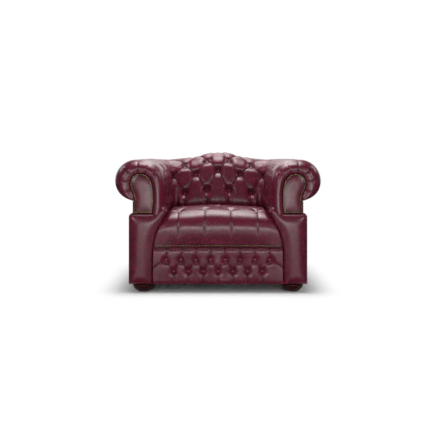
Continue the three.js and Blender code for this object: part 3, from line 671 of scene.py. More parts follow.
def make_leather():
    leather = new_finish("antique_oxblood_leather", oxblood, 0.36)
    where = object_place(leather)
    cloudy = noise(leather, where, scale=26.0, detail=5.0, Roughness=0.65)
    mottled = noise(leather, where, scale=95.0, detail=3.0, Roughness=0.6)
    grain = noise(leather, where, scale=260.0, detail=2.0)
    cells = {"Vector": where, "Scale": 620.0}
    pores = add_node(leather, "TexVoronoi", cells, feature="DISTANCE_TO_EDGE").outputs["Distance"]
    crease = add_node(leather, "Attribute", attribute_name="crease").outputs["Fac"]
    base = mixed(leather, ramp_between(leather, cloudy, 0.36, 0.66), oxblood, rubbed)
    specks = mixed(leather, ramp_between(leather, mottled, 0.42, 0.62), speck_tone, clear)
    toned = mixed(leather, 1.0, base, specks, "MULTIPLY")
    gloss = ramp_between(leather, cloudy, 0.3, 0.7, (0.31, 0.31, 0.31), (0.25, 0.25, 0.25))
    skin = relief(leather, pores, strength=0.15, distance=0.0003)
    skin = relief(leather, grain, strength=0.12, distance=0.0006, Normal=skin)
    # Painted shade: the colour darkens towards a near-black red where the crease mask is high.
    values = {"Base Color": mixed(leather, crease, toned, painted_crease_shade), "Roughness": gloss, "Normal": skin}
    set_inputs(leather, surface_of(leather), values)
    return leather


leather = make_leather()


# A piece takes its finish, rides on the chair and stands for its plain solids.
def fitted(piece, finish, slot, *nodes):
    piece.data.materials.clear()
    piece.data.materials.append(finish)
    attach(piece, "root")
    if nodes:
        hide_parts(*nodes)


def upholstered(piece, *nodes, fill):
    fitted(piece, leather, "leather", *nodes)


upholstered(inside_back, "inside_back", fill=0.9)

# Inside arms: the same padding carried from the rear corners to the front, where the roll is gathered
# in six pleats and turned in round the scroll facing.
panel_x = inner_x + 0.056
panel_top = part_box("facing_right")[0].z - gap
facing_left = panel_x - 0.006
facing_width = 0.137
facing_height = 0.226
facing_shares = [
    (0.853, 0), (0.818, 0.318), (0.818, 0.42), (0.9, 0.542), (0.985, 0.65), (1, 0.74), (0.975, 0.83),
    (0.884, 0.92), (0.705, 0.985), (0.527, 0.995), (0.349, 0.963), (0.186, 0.874), (0.078, 0.734),
    (0.023, 0.533), (0.016, 0.346), (0.039, 0.15), (0.07, 0),
]
facing_outline = [
    (facing_left + x * facing_width, panel_top + gap + z * facing_height) for x, z in facing_shares
]
facing_edge = [(x - inner_x, z) for x, z in facing_outline[:0:-1]]
facing_edge = curve_through([(facing_edge[0][0], pad_bottom)] + facing_edge, len(section_steps) * 4)
board_rear_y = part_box("front_post_right")[1].y
gathers = [(0.060, 0.660), (0.105, 0.673), (0.143, 0.6745), (0.1725, 0.651), (0.1875, 0.617), (0.181, 0.575)]
gathers = [np.linalg.norm(facing_edge - place, axis=1).argmin() for place in gathers]
arm_half_tufts = 6
face_turn = 1.1
roll_turn = 0.6


def arm_form(name, side):
    halves = [k * tuft_width / 2 for k in range(2 * last_column - arm_half_tufts, 2 * last_column + 1)]
    straight = stepped(halves, [tuft_steps] * arm_half_tufts)
    lead = np.linspace(straight[-1], ring_start_t, num=16)[1:]
    turns = np.linspace(0, math.pi / 2, num=27)[1:]
    stops = np.concatenate([straight, lead, ring_start_t + ring_bulge * np.sin(turns * ring_fold)])
    turns = np.concatenate([np.zeros(len(straight) + len(lead)), turns])[:, None]
    t, p, z, crease = pad_rings(side * stops, seed=5 if side > 0 else 9, turns=turns)
    last = len(facing_edge) - 1
    share = np.interp(section_steps, [0, *ring_pleats, section_length], [0, *gathers, last])
    near = columns_at(share, np.arange(last + 1), facing_edge)
    over = smooth((section_steps - rows[-1]) / (section_length - rows[-1]))
    turned = np.cos(turns) ** (face_turn + (roll_turn - face_turn) * over)
    face = pad_place(t, near[0] + (p - near[0]) * turned, near[1] + (z - near[1]) * turned)
    end = arm_t(board_rear_y + gap)
    rear_face = pad_place(np.full_like(stops[:1], side * end)[:, None], near[0][None], near[1][None])
    rings = with_lining(side * np.append(np.minimum(stops, end), end), np.concatenate([face, rear_face]))
    rings[0] += (side * mitre_gap, -mitre_gap, 0)
    # Painted shade: the end ring, tucked behind the facing, is given full crease shade.
    crease = np.concatenate([crease, np.ones_like(crease[:1])])
    split = pleat_split(stops)
    return padded_form(name, rings, crease, np.concatenate([split, split[-1:]]))


hands = ((1, "right"), (-1, "left"))
for side, hand in hands:
    upholstered(arm_form(f"buttoned_inside_arm_{hand}", side), f"inside_arm_{hand}", fill=0.9)

# Front panels of the arms: one padded leather cover on each, from the base up to the facing, with a wing
# that rises inward to meet the seat. Its outer edge turns round the side of the arm.
front_y = -chair_depth / 2
base_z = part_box("arm_front_panel_right")[0].z
cover_rear_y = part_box("facing_right")[1].y
panel_width = 0.136
panel_return = 0.054
panel_outer = panel_x + panel_width
panel_y = front_y - 0.004
panel_spine_share = 0.45
panel_spine_low = 0.06
panel_spine_drop = 0.07
wing_width = 0.080
wing_rise = 0.038
wing_drop = 0.230
wing_top = [
    (0, 0), (0.1, 0.06), (0.2, 0.18), (0.34, 0.38), (0.46, 0.62), (0.56, 0.86), (0.64, 0.95), (0.72, 0.92),
    (0.82, 0.74), (0.92, 0.52),
]
wing_side = [
    (1, 0.052), (0.725, -0.113), (0.4625, -0.317), (0.2375, -0.504), (0.0875, -0.687), (0.025, -0.83),
    (0, -1),
]
wing_top = [(panel_x - x * wing_width, panel_top + z * wing_rise) for x, z in wing_top]
wing_side = [(panel_x - x * wing_width, panel_top + z * wing_drop) for x, z in wing_side]
corner_rounding = wing_rise / 2
panel_corner = [
    (panel_outer - corner_rounding * (1 - math.cos(turn)), panel_top - corner_rounding * (1 - math.sin(turn)))
    for turn in np.radians(np.linspace(0, 90, 7))
]
panel_outline = [(panel_x, base_z), (panel_outer, base_z), *panel_corner, *wing_top, *wing_side]
outline_pitch = 0.004
spine_pitch = 0.008
face_rings = 26
ring_crowding = 1.6
nail_shade_reach = 0.0065


def wing_x(z):
    heights, widths = [z for _, z in wing_side[::-1]], [x for x, _ in wing_side[::-1]]
    return np.interp(z, heights, widths)


# Points at an even pitch along an outline, its corners kept.
def along_outline(outline, pitch):
    points = []
    for (x0, z0), (x1, z1) in zip(outline, outline[1:] + outline[:1]):
        count = max(1, round(math.hypot(x1 - x0, z1 - z0) / pitch))
        points += [(x0 + (x1 - x0) * k / count, z0 + (z1 - z0) * k / count) for k in range(count)]
    return np.array(points)


# How far a point lies inside an outline, as a smooth depth that all of its sides share in.
def depth_inside(flat, outline):
    pull = np.zeros(flat.shape[:2])
    for start, end in zip(outline, np.roll(outline, -1, axis=0)):
        run = end - start
        along = np.clip((flat - start) @ run / (run @ run), 0, 1)
        away = np.linalg.norm(flat - start - along[..., None] * run, axis=-1)
        pull += np.linalg.norm(run) / np.maximum(away, 1e-6) ** 4
    return (math.pi / 2 / pull) ** (1 / 3)


# A padded face of any outline in x and z. Rings run in from its edge to a spine down its middle, and the
# face is rounded over at the edge and crowned towards the spine. The walls go back to the given depths.
# The left one is the right one mirrored. Painted shade lies along the line of nails.
def padded_face(name, side, outline, spine, walls, edge, crown, front, nail_inset=None):
    low, high = np.array(spine)
    stops = round((high[1] - low[1]) / spine_pitch)
    share = (np.clip(outline[:, 1], low[1], high[1]) - low[1]) / (high[1] - low[1])
    middle = low + (np.round(share * stops) / stops)[:, None] * (high - low)
    inward = np.linspace(0, 1, face_rings + 1)[:, None, None] ** ring_crowding
    flat = outline + (middle - outline) * inward
    away = depth_inside(flat, outline)
    rounded = edge * quarter_round(away / edge)
    bulge = crown * (1 - (1 - away / away.max()) ** 2)
    rings = np.stack([flat[..., 0], front + crown + rounded - bulge, flat[..., 1]], axis=-1)
    walls = [np.stack([x, np.broadcast_to(y, x.shape), z], axis=1) for x, y, z in walls]
    rings = np.array(walls[::-1] + list(rings))
    crease = np.zeros(rings.shape[:2])
    if nail_inset:
        crease[len(walls):] = bell(away - nail_inset, nail_shade_reach)
    piece = padded_form(name, rings, crease, last_face=False)
    piece.data.transform(((side, 0, 0, 0), (0, 1, 0, 0), (0, 0, 1, 0), (0, 0, 0, 1)))
    if side < 0:
        piece.data.flip_normals()
    return piece


def front_panel(name, side):
    outline = along_outline(panel_outline, outline_pitch)
    x, z = outline.T
    turned = x > inner_x + neck_reach
    rear = np.where(turned, cover_rear_y + panel_return, cover_rear_y)
    inner = np.where(turned, facing_outline[0][0] + gap, x)
    walls = [(x, rear, z), (inner, rear, z), (inner, cover_rear_y, z)]
    spine_x = panel_x + panel_spine_share * panel_width
    spine = ((spine_x, base_z + panel_spine_low), (spine_x, panel_top - panel_spine_drop))
    return padded_face(name, side, outline, spine, walls, edge=0.0145, crown=0.021, front=panel_y)


for side, hand in hands:
    upholstered(front_panel(f"padded_front_panel_{hand}", side), f"arm_front_panel_{hand}", fill=0.85)

# Scroll facings: a shaped board, thinly padded and covered, set into the gathered end of each roll.
# The leather is drawn over the board's rounded edge, and nails are driven close together round it.
facing_front_y = facing_y - 0.003
facing_nail_inset = 0.007
facing_spine_share = 0.48
facing_spine_low = panel_top + 0.05
facing_spine_high = panel_top + 0.70 * facing_height


def scroll_facing(name, side):
    outline = along_outline(facing_outline, outline_pitch)
    spine_x = facing_left + facing_spine_share * facing_width
    spine = ((spine_x, facing_spine_low), (spine_x, facing_spine_high))
    walls = [(outline[:, 0], cover_rear_y, outline[:, 1])]
    shape = {"edge": 0.006, "crown": 0.008, "front": facing_front_y}
    return padded_face(name, side, outline, spine, walls, **shape, nail_inset=facing_nail_inset)


for side, hand in hands:
    upholstered(scroll_facing(f"padded_facing_{hand}", side), f"facing_{hand}", fill=0.8)

# Seat: a sprung pad of hair and foam under one hide, crowned over the springs and fixed to the frame. It
# has three rows of buttons, and pleats run from the first row down over its rounded front edge.
seat_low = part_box("seat_pad")[0].z
seat_front_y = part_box("seat_pad")[0].y
seat_rear_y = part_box("seat_pad")[1].y
seat_crown = 0.4675
seat_side_fall = 0.020
seat_fall_power = 2.2
seat_edge_fall = 0.018
seat_edge_share = 0.9
seat_deck_drop = 0.055
seat_button_spacing = 0.150
seat_button_y = front_y + 0.136
seat_row_depth = 0.148
seat_pleat_low = seat_low / 5
seat_pleat_start = 0.030
seat_pleat_blend = 0.090
seat_spread_share = 0.72
seat_shares = [
    (0.032, 0), (0.018, 0.14), (0.005, 0.28), (0, 0.405), (0.002, 0.581), (0.025, 0.768), (0.065, 0.884),
    (0.123, 0.940), (0.22, 0.976), (0.33, 0.994), (0.45, 0.998), (0.60, 0.97), (0.80, 0.91), (0.93, 0.86),
    (1, 0.83),
]
seat_section = [
    (seat_front_y + y * (seat_rear_y - seat_front_y), seat_low + z * (seat_crown - seat_low))
    for y, z in seat_shares
]
first_top_point = 100
seat_half_width = inner_x + face_curve[:, 0].min() - gap
seat_width_blend = 0.070
front_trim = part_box("front_nail_trim")
nail_z = (front_trim[0].z + front_trim[1].z) / 2
button_sink = 0.006
pit_reach = 9


# The place of a button on a grid of surface points, and the direction that the surface faces there.
def pit_place(points, x, y, bx, by):
    i, j = np.abs(x[:, 0] - bx).argmin(), np.abs(y[0] - by).argmin()
    across = points[i + pit_reach, j] - points[i - pit_reach, j]
    outward = np.cross(across, points[i, j + pit_reach] - points[i, j - pit_reach])
    outward /= np.linalg.norm(outward)
    return points[i, j] + outward * button_sink, outward


# A grid of surface points is closed by rows of points behind it, given by their widths, depths and heights.
def closed_behind(face, *rows_behind):
    behind = [np.stack(np.broadcast_arrays(*places), axis=-1) for places in rows_behind]
    return np.concatenate([face, np.stack(behind, axis=1)], axis=1)


def seat_lines(half, near, middle, rear, last):
    lines = []
    for k in (-3, -1, 1, 3):
        lines += [(k * half, seat_pleat_low, k * half, near), (k * half, rear, k * half, last)]
        lines += [(k * half, row, (k + way) * half, middle) for row in (near, rear) for way in (-1, 1)]
    return lines


def seat_form():
    dense = curve_through(seat_section, count=600)
    arcs = arc_lengths(dense)
    button_arc = np.interp(seat_button_y, dense[first_top_point:, 0], arcs[first_top_point:])
    row_arcs = [button_arc, button_arc + seat_row_depth, button_arc + 2 * seat_row_depth]
    half = seat_button_spacing / 2
    tufts = [k * half for k in range(-3, 4)]
    columns = over_tufts(seat_half_width, tufts, side_steps=18, tuft_steps=30)
    steps = stepped([0, *row_arcs, arcs[-1]], counts=[72, 30, 30, 26])
    x, r = np.meshgrid(columns, steps, indexing="ij")
    buttons = [(k * half, row) for row in row_arcs[::2] for k in (-3, -1, 1, 3)]
    buttons += [(k * half, row_arcs[1]) for k in (-2, 0, 2)]
    lines = seat_lines(half, *row_arcs, arcs[-1])
    pulled, crease = tufted(x, r, lines, buttons, depth=0.024, funnel=0.056, groove=0.030)
    y, z = columns_at(r, arcs, dense)
    slope_y, slope_z = [np.interp(r, arcs, np.gradient(column, arcs)) for column in dense.T]
    share = x / seat_half_width
    upper = smooth((z - seat_low) / (seat_crown - seat_low))
    edge_fall = seat_edge_fall * smooth((abs(share) - seat_edge_share) / (1 - seat_edge_share))
    z = z - (seat_side_fall * abs(share) ** seat_fall_power + edge_fall) * upper
    between_wings = wing_x(z) - gap
    width = between_wings + (seat_half_width - between_wings) * smooth((y - cover_rear_y) / seat_width_blend)
    pleated = smooth((r - seat_pleat_start) / seat_pleat_blend)
    sunk = pulled * pleated - button_wrinkles(x, r, buttons, seed=21, reach=0.036, depth=0.0008)
    side_share = smooth((abs(share) - seat_spread_share) / (1 - seat_spread_share))
    x_at = x + np.sign(x) * (width - seat_half_width) * side_share
    top = np.stack([x_at, y + sunk * slope_z, z - sunk * slope_y], axis=-1)
    top = top + hand_stuffed(top, depth=0.0012, size=0.07, seed=4)[..., None] * (0, 0, 1)
    wide, narrow = [share[:, 0] * (wing_x(level) - gap) for level in (pad_bottom, seat_low)]
    deck_z = pad_bottom - seat_deck_drop
    base = [(wide, seat_rear_y, deck_z), (wide, cover_rear_y, deck_z), (narrow, cover_rear_y, seat_low)]
    bands = np.searchsorted(row_arcs, steps[:-1] + gap)
    cells = np.searchsorted(tufts, columns[:-1] + gap)
    split = (cells[:, None] + bands[None, :]) % 2 == 0
    # Painted shade in the pleats' creases and along the line of nails under the front edge.
    crease = crease * pleated + bell(z - nail_z, nail_shade_reach)
    seat = padded_form("buttoned_seat", closed_behind(top, *base), crease, split)
    return seat, [pit_place(top, x, r, *button) for button in buttons]


seat, seat_buttons = seat_form()
upholstered(seat, "seat_pad", fill=0.85)

# Front border: the panel under the seat, padded and drawn in with two rows of buttons, with upright pleats
# to its edges and zigzag pleats between the rows.
border_setback = 0.011
border_edge = 0.024
border_edge_depth = 0.012
border_spacing = 0.0823
border_rows = (0.183, 0.1185)
border_top = seat_low - gap
border_half_width = panel_x - gap
pleat_overrun = 0.01
side_overrun = 1.1


def border_form():
    half = border_spacing / 2
    places = [(k * half, border_rows[0] if k % 2 else border_rows[1]) for k in range(-7, 8)]
    lines = [(*near, *far) for near, far in zip(places, places[1:])]
    for x, z in places:
        lines.append((x, border_top + pleat_overrun if z == border_rows[0] else base_z - pleat_overrun, x, z))
    for (x, z), side in ((places[0], -1), (places[-1], 1)):
        lines.append((x, z, side * border_half_width * side_overrun, border_rows[1]))
    tufts = [x for x, _ in places]
    columns = over_tufts(border_half_width, tufts, side_steps=22, tuft_steps=16)
    heights = stepped([base_z, border_rows[1], border_rows[0], border_top], counts=[26, 24, 24])
    x, z = np.meshgrid(columns, heights, indexing="ij")
    pulled, crease = tufted(x, z, lines, places, depth=0.026, funnel=0.036, groove=0.022, share=0.16)
    rounded = border_edge_depth * quarter_round(np.minimum(z - base_z, border_top - z) / border_edge)
    sunk = pulled + rounded - button_wrinkles(x, z, places, seed=31, reach=0.020, depth=0.0008)
    narrow = x * (wing_x(z) - gap) / border_half_width
    face = np.stack([narrow, front_y + border_setback + sunk, z], axis=-1)
    face = face + hand_stuffed(face, depth=0.0010, size=0.04, seed=6)[..., None] * (0, 1, 0)
    rings = closed_behind(face, (columns, cover_rear_y, border_top), (columns, cover_rear_y, base_z))
    cells = np.searchsorted(tufts, columns[:-1] + gap)
    split = np.repeat(cells[:, None] % 2 == 0, rings.shape[1], axis=1)
    border = padded_form("buttoned_front_border", rings, crease, split)
    return border, [pit_place(face, x, z, *button) for button in places]


border, border_buttons = border_form()
upholstered(border, "front_border", fill=0.9)

# Covered buttons: leather over a metal shell, drawn deep into the padding by twine through the pad.
# They hold the tufts of the inside back and arms, of the seat and of the front border.
button_radius = 0.0115
button_height = 0.0068
button_aim = 0.010


def select_only(*pieces):
    bpy.ops.object.select_all(action="DESELECT")
    for piece in pieces:
        piece.select_set(True)
    bpy.context.view_layer.objects.active = pieces[0]


# Mesh operations, one after the other, each on the whole of a piece.
def work_on(piece, *operations):
    select_only(piece)
    bpy.ops.object.mode_set(mode="EDIT")
    for operation, settings in operations:
        bpy.ops.mesh.select_all(action="SELECT")
        operation(**settings)
    bpy.ops.object.mode_set(mode="OBJECT")


def flattened_ball(radius, height, segments, rings, half=False):
    bpy.ops.mesh.primitive_uv_sphere_add(segments=segments, ring_count=rings, radius=radius)
    ball = bpy.context.object
    if half:
        level = {"plane_co": (0, 0, 0), "plane_no": (0, 0, 1)}
        work_on(ball, (bpy.ops.mesh.bisect, {**level, "clear_inner": True, "use_fill": True}))
    work_on(ball, (bpy.ops.transform.resize, {"value": (1, 1, height / radius)}))
    bpy.ops.object.shade_smooth()
    return ball


# Copies of one shape, each with its own mesh, turned so that its top faces outward, joined as one piece.
def set_out(name, shape, places):
    copies = []
    for where, outward in places:
        copy = new_piece(name, shape.data.copy())
        turn = Vector(outward).to_track_quat("Z", "Y").to_matrix().to_4x4()
        turn.translation = Vector(where)
        copy.data.transform(turn)
        copies.append(copy)
    select_only(*copies)
    bpy.ops.object.join()
    copies[0].name = name
    return copies[0]


def pad_button(t, r):
    p, z = section_point(r)
    out_p, out_z = section_normal(r)
    seated = tuft_swell - pad_tufts(np.array(t), np.array(r), [(t, r)])[0] + button_sink
    heights = (seated, seated + button_aim)
    place, above = [pad_place(t, p + out_p * out, z + out_z * out) for out in heights]
    return place, above - place


def button_piece(name, places):
    fitted(set_out(name, button, places), leather, "leather")


button = flattened_ball(button_radius, button_height, segments=20, rings=12)
arm_buttons = mitre_t + gap
button_piece("back_buttons", [pad_button(t, r) for t, r in pad_buttons if abs(t) <= arm_buttons])
for side, hand in hands:
    on_arm = [pad_button(t, r) for t, r in pad_buttons if t * side > arm_buttons]
    button_piece(f"arm_buttons_{hand}", on_arm)
button_piece("seat_buttons", seat_buttons)
button_piece("border_buttons", border_buttons)
bpy.data.objects.remove(button)

# Outside arms: plain leather over stiffened hessian, tacked under the roll and along the base. Each runs
# from the rear seam round the corner to the front panel, with a tongue on to the facing above it.
shell_depth = 0.007
shell_edge = 0.012
shell_edge_depth = 0.0048
shell_crown = 0.004
shell_crown_reach = 0.080
shell_uneven_reach = 0.050
shell_top = neck_z - gap
seam_share = 0.33
seam_t = straight_half + corner_arc * seam_share
shell_end_t = arm_t(cover_rear_y + panel_return + gap)


def outside_panel(name, stops, low, seed):
    t, z = np.meshgrid(stops, np.linspace(low, shell_top, num=70), indexing="ij")
    from_end = np.minimum(t - stops.min(), stops.max() - t)
    from_edge = np.minimum(from_end, np.minimum(z - low, shell_top - z))
    edge = shell_edge_depth * quarter_round(from_edge / shell_edge)
    p = neck_reach - edge + shell_crown * smooth(from_edge / shell_crown_reach)
    uneven = hand_stuffed(pad_place(t, p, z), depth=0.0012, size=0.09, seed=seed)
    face = pad_place(t, p + uneven * smooth(from_edge / shell_uneven_reach), z)
    inner = pad_place(t, np.full(t.shape, neck_reach - shell_depth), z)
    return padded_form(name, np.concatenate([face, inner[:, [-1, 0]]], axis=1))


for side, hand in hands:
    round_corner = np.linspace(seam_t + gap, arm_start_t, num=40)
    stops = np.concatenate([round_corner, np.linspace(arm_start_t, shell_end_t, num=90)[1:]])
    panel = outside_panel(f"outside_arm_leather_{hand}", side * stops, base_z, seed=41)
    tongue_stops = side * np.linspace(shell_end_t - shell_edge, arm_t(facing_y), num=24)
    tongue = outside_panel("tongue", tongue_stops, panel_top + gap, seed=41)
    select_only(panel, tongue)
    bpy.ops.object.join()
    upholstered(panel, f"outside_arm_{hand}", fill=0.6)

# Outside back: one plain leather panel between the rear seams, tacked like those of the arms.
# It swells a few millimetres away from its edges, and nails run down both of its seams.
back_panel = outside_panel("outside_back_leather", np.linspace(-seam_t, seam_t, num=150), base_z, seed=43)
upholstered(back_panel, "outside_back", fill=0.6)

# Decorative nails: domed brass heads in patchy antique tones, painted darker towards the rim as painted shade
# where they meet the leather, set close along the facings, under the seat and down the seams of the outside
# back.
nail_radius = 0.0046
nail_height = 0.0030
nail_pitch = 0.0127
facing_nail_pitch = 0.0114
nail_sink = 0.0002
seam_nail_inset = 0.011
seam_nail_margin = 0.012
dull_brass = (0.30, 0.22, 0.10)
bright_brass = (0.72, 0.56, 0.27)
painted_rim_shade = (0.010, 0.007, 0.004)

nail = flattened_ball(nail_radius, nail_height, segments=12, rings=8, half=True)
rim = nail.data.attributes.new("rim", "FLOAT", "POINT")
rim.data.foreach_set("value", [vertex.co.xy.length / nail_radius for vertex in nail.data.vertices])


def make_antique_brass():
    brass = new_finish("antique_brass", dull_brass, 0.35, metallic=1.0)
    patches = noise(brass, object_place(brass), scale=320.0, detail=2.0)
    tone = mixed(brass, ramp_between(brass, patches, 0.40, 0.62), dull_brass, bright_brass)
    to_rim = add_node(brass, "Attribute", attribute_name="rim").outputs["Fac"]
    # Painted shade: each head darkens towards its rim, where it meets the leather.
    tone = mixed(brass, ramp_between(brass, to_rim, 0.45, 0.85), tone, painted_rim_shade)
    rough = ramp_between(brass, patches, 0.35, 0.65, (0.5, 0.5, 0.5), (0.3, 0.3, 0.3))
    set_inputs(brass, surface_of(brass), {"Base Color": tone, "Roughness": rough})
    return brass


antique_brass = make_antique_brass()


def nail_line(name, places, node):
    fitted(set_out(name, nail, places), antique_brass, "nails", node)


# Points at an even pitch along a line of points, its first and last kept.
def evenly(line, pitch):
    line = np.array(line, float)
    return spread_evenly(line, round(arc_lengths(line)[-1] / pitch) + 1)


def inset(outline, amount):
    before = outline - np.roll(outline, 1, axis=0)
    after = np.roll(outline, -1, axis=0) - outline
    sides = [np.stack([-run[:, 1], run[:, 0]], axis=1) for run in (before, after)]
    sides = [side / np.linalg.norm(side, axis=1)[:, None] for side in sides]
    inward = sides[0] + sides[1]
    inward /= np.linalg.norm(inward, axis=1)[:, None]
    return outline + inward * (amount / np.maximum(0.5, np.sum(inward * sides[1], axis=1)))[:, None]


# The place of a nail driven into a piece of leather from the front, and the direction that it faces.
def driven(leather, x, z):
    _, place, outward, _ = leather.ray_cast((x, -chair_depth, z), (0, 1, 0))
    return place - outward * nail_sink, outward


bpy.context.view_layer.update()
line = inset(np.array(facing_outline), facing_nail_inset)
line = evenly(np.vstack([line, line[:1]]), facing_nail_pitch)[:-1]
for side, hand in hands:
    facing = bpy.data.objects[f"padded_facing_{hand}"]
    places = [driven(facing, side * x, z) for x, z in line]
    nail_line(f"facing_nails_{hand}", places, f"facing_nail_trim_{hand}")

line = evenly([(front_trim[0].x + nail_radius, nail_z), (front_trim[1].x - nail_radius, nail_z)], nail_pitch)
nail_line("front_nails", [driven(seat, x, z) for x, z in line], "front_nail_trim")

seam_ends = [(0, base_z + seam_nail_margin), (0, shell_top - seam_nail_margin)]
for side, hand in hands:
    places = []
    t = side * (seam_t - seam_nail_inset)
    for _, z in evenly(seam_ends, nail_pitch):
        place, above = [pad_place(t, neck_reach + out, z) for out in (-nail_sink, nail_height)]
        places.append((place, above - place))
    nail_line(f"back_seam_nails_{hand}", places, f"back_nail_trim_{hand}")
bpy.data.objects.remove(nail)

# Bun feet: beech turned on a lathe, stained and polished dark mahogany, bolted up into the corner blocks.
# Each swells to its widest near the top and narrows to a flat sole.
foot_radius = 0.062
foot_sole_radius = 0.016
foot_bolt_radius = 0.006
foot_shares = [
    (0.50, 0), (0.62, 0.10), (0.80, 0.27), (0.92, 0.46), (0.985, 0.66), (1, 0.80), (0.93, 0.93),
    (0.78, 0.985),
]
mahogany_tones = [(0.016, 0.0008, 0.0004), (0.022, 0.0012, 0.0006), (0.032, 0.0020, 0.0010)]


# Wood is a streaky tone between two colours, with a little relief. The streaks are drawn out by the stretch.
def make_wood(name, tones, roughness, stretch, streaks, ends, bumps, specular=0.5):
    wood = new_finish(name, tones[1], roughness, specular=specular)
    where = add_node(wood, "Mapping", {"Vector": object_place(wood), "Scale": stretch}).outputs[0]
    grain = noise(wood, where, **streaks)
    tone = mixed(wood, ramp_between(wood, grain, *ends), tones[0], tones[2])
    bumps = relief(wood, grain, **bumps)
    set_inputs(wood, surface_of(wood), {"Base Color": tone, "Normal": bumps})
    return wood


polished_mahogany = make_wood(
    "dark_mahogany", mahogany_tones, roughness=0.42, specular=0.2, stretch=(9, 9, 90),
    streaks={"scale": 2.6, "detail": 6.0, "Distortion": 0.6}, ends=(0.38, 0.64),
    bumps={"strength": 0.10, "distance": 0.0004},
)


def turned_foot(name, node):
    low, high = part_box(node)
    centre = (low + high) / 2
    outline = [(foot_radius * r, low.z + z * (high.z - low.z)) for r, z in foot_shares]
    profile = [(foot_sole_radius, low.z), *curve_through(outline, count=40), (foot_bolt_radius, high.z)]
    points = [(centre.x + r, centre.y, z) for r, z in profile]
    mesh = bpy.data.meshes.new(name)
    mesh.from_pydata(points, [(k, k + 1) for k in range(len(points) - 1)], [])
    foot = new_piece(name, mesh)
    work_on(
        foot,
        (bpy.ops.mesh.spin, {"steps": 64, "angle": 2 * math.pi, "center": centre, "axis": (0, 0, 1)}),
        (bpy.ops.mesh.remove_doubles, {"threshold": 0.00005}),
        (bpy.ops.mesh.fill_holes, {"sides": 80}),
        (bpy.ops.mesh.normals_make_consistent, {"inside": False}),
    )
    bpy.ops.object.shade_smooth_by_angle(angle=math.radians(40))
    fitted(foot, polished_mahogany, "feet", node)


corners = [(end, hand) for end in ("front", "rear") for _, hand in hands]
for end, hand in corners:
    turned_foot(f"turned_foot_{end}_{hand}", f"{end}_foot_{hand}")

# Frame: kiln-dried beech rails, posts, stile and blocks, glued and screwed, hidden by the upholstery.
# The plain solids are right as they stand, and take the finish of sawn beech.
beech_tones = [(0.38, 0.22, 0.10), (0.50, 0.31, 0.15), (0.56, 0.37, 0.19)]
frame_pairs = (
    "front_post", "rear_post", "arm_top_rail", "side_rail", "arm_tacking_rail", "front_corner_block",
    "rear_corner_block",
)
frame_nodes = [
    "front_rail", "rear_rail", "seat_rear_rail", "back_top_rail", "back_centre_stile", "back_tacking_rail",
]
frame_nodes += [f"{pair}_{hand}" for pair in frame_pairs for _, hand in hands]


# A frame node that is right as it stands takes a finish in its own slots.
def finish_nodes(nodes, finish):
    for name in nodes:
        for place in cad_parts[name].material_slots:
            place.material = finish


sawn_beech = make_wood(
    "sawn_beech", beech_tones, roughness=0.7, stretch=(12, 60, 60),
    streaks={"scale": 1.4, "detail": 7.0, "Distortion": 0.4}, ends=(0.35, 0.65),
    bumps={"strength": 0.3, "distance": 0.0006},
)
finish_nodes(frame_nodes, sawn_beech)

# Springs, foot bolts and glides: drawn and pressed steel, nailed, screwed or bolted to the frame.
# Five serpentine springs run back from the front rail, and each foot has its own bolt and glide.
steel_grey = (0.52, 0.53, 0.54)
dark_steel = (0.42, 0.43, 0.44)
light_steel = (0.60, 0.61, 0.62)


def make_steel():
    steel = new_finish("bright_steel", steel_grey, 0.35, metallic=1.0)
    drawn = noise(steel, object_place(steel), scale=240.0, detail=3.0)
    rough = ramp_between(steel, drawn, 0.35, 0.65, (0.28, 0.28, 0.28), (0.46, 0.46, 0.46))
    tone = mixed(steel, drawn, dark_steel, light_steel)
    set_inputs(steel, surface_of(steel), {"Roughness": rough, "Base Color": tone})
    return steel


steel_nodes = [f"seat_spring_{k}" for k in range(1, 6)]
steel_nodes += [f"{end}_{part}_{hand}" for end, hand in corners for part in ("foot_bolt", "glide")]
finish_nodes(steel_nodes, make_steel())

# Deck and webbing: woven hessian, tacked over the springs and across the back frame.
# Both are plain jute cloth, left in its natural brown.
hessian_dark = (0.30, 0.23, 0.13)
hessian_light = (0.50, 0.40, 0.25)


def make_woven(name, dark, light, threads):
    woven = new_finish(name, light, 0.95)
    where = {"Vector": object_place(woven), "Scale": threads}
    bands = [add_node(woven, "TexWave", where, bands_direction=way).outputs["Fac"] for way in "XY"]
    weave = maths(woven, "MULTIPLY", *bands)
    bumps = relief(woven, weave, strength=0.4, distance=0.0004)
    set_inputs(woven, surface_of(woven), {"Base Color": mixed(woven, weave, dark, light), "Normal": bumps})
    return woven


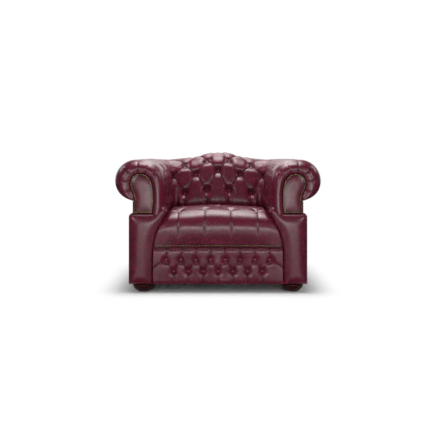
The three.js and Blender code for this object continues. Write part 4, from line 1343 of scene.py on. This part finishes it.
finish_nodes(["seat_deck", "back_webbing"], make_woven("hessian", hessian_dark, hessian_light, threads=160.0))

# Dust cover: thin black cotton, stapled taut to the underside of the rails, and notched round the feet.
# It hangs a few millimetres lower in the middle than at its edges.
dust_low, dust_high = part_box("dust_cover")
dust_sag = 0.003
dust_lift = 0.001
dust_thickness = 0.0008
dust_dark = (0.010, 0.010, 0.011)
dust_light = (0.030, 0.030, 0.032)
foot_clear = foot_radius + 0.010
front_foot, rear_foot = [sum(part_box(f"{end}_foot_right"), Vector()) / 2 for end in ("front", "rear")]
narrow_x = rear_foot.x - foot_clear
wide_x = dust_high.x
side_y = (front_foot.y + foot_clear, rear_foot.y - foot_clear)
across = [-wide_x, *np.linspace(-narrow_x, narrow_x, 25), wide_x]
along = stepped([dust_low.y, *side_y, dust_high.y], [5, 19, 5])


def cloth_point(x, y):
    droop = (1 - (x / wide_x) ** 2) * math.sin(math.pi * (y - along[0]) / (along[-1] - along[0]))
    return (x, y, dust_low.z + dust_lift - dust_sag * droop)


def cloth_kept(i, k):
    return 0 < i < len(across) - 2 or side_y[0] <= (along[k] + along[k + 1]) / 2 <= side_y[1]


cloth_faces = []
for i in range(len(across) - 1):
    for k in range(len(along) - 1):
        if cloth_kept(i, k):
            corner = i * len(along) + k
            cloth_faces.append((corner, corner + 1, corner + len(along) + 1, corner + len(along)))
cloth_mesh = bpy.data.meshes.new("black_dust_cover")
cloth_mesh.from_pydata([cloth_point(x, y) for x in across for y in along], [], cloth_faces)
dust_sheet = new_piece("black_dust_cover", cloth_mesh)
work_on(dust_sheet, (bpy.ops.mesh.delete_loose, {}))
bpy.ops.object.shade_smooth()
thin = dust_sheet.modifiers.new("cloth_thickness", "SOLIDIFY")
thin.thickness = dust_thickness
thin.offset = 0
black_cotton = make_woven("black_cotton", dust_dark, dust_light, threads=260.0)
fitted(dust_sheet, black_cotton, "dust_cloth", "dust_cover")

corners = [[list(map(float, corner)) for corner in box] for box in (cad_box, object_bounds())]
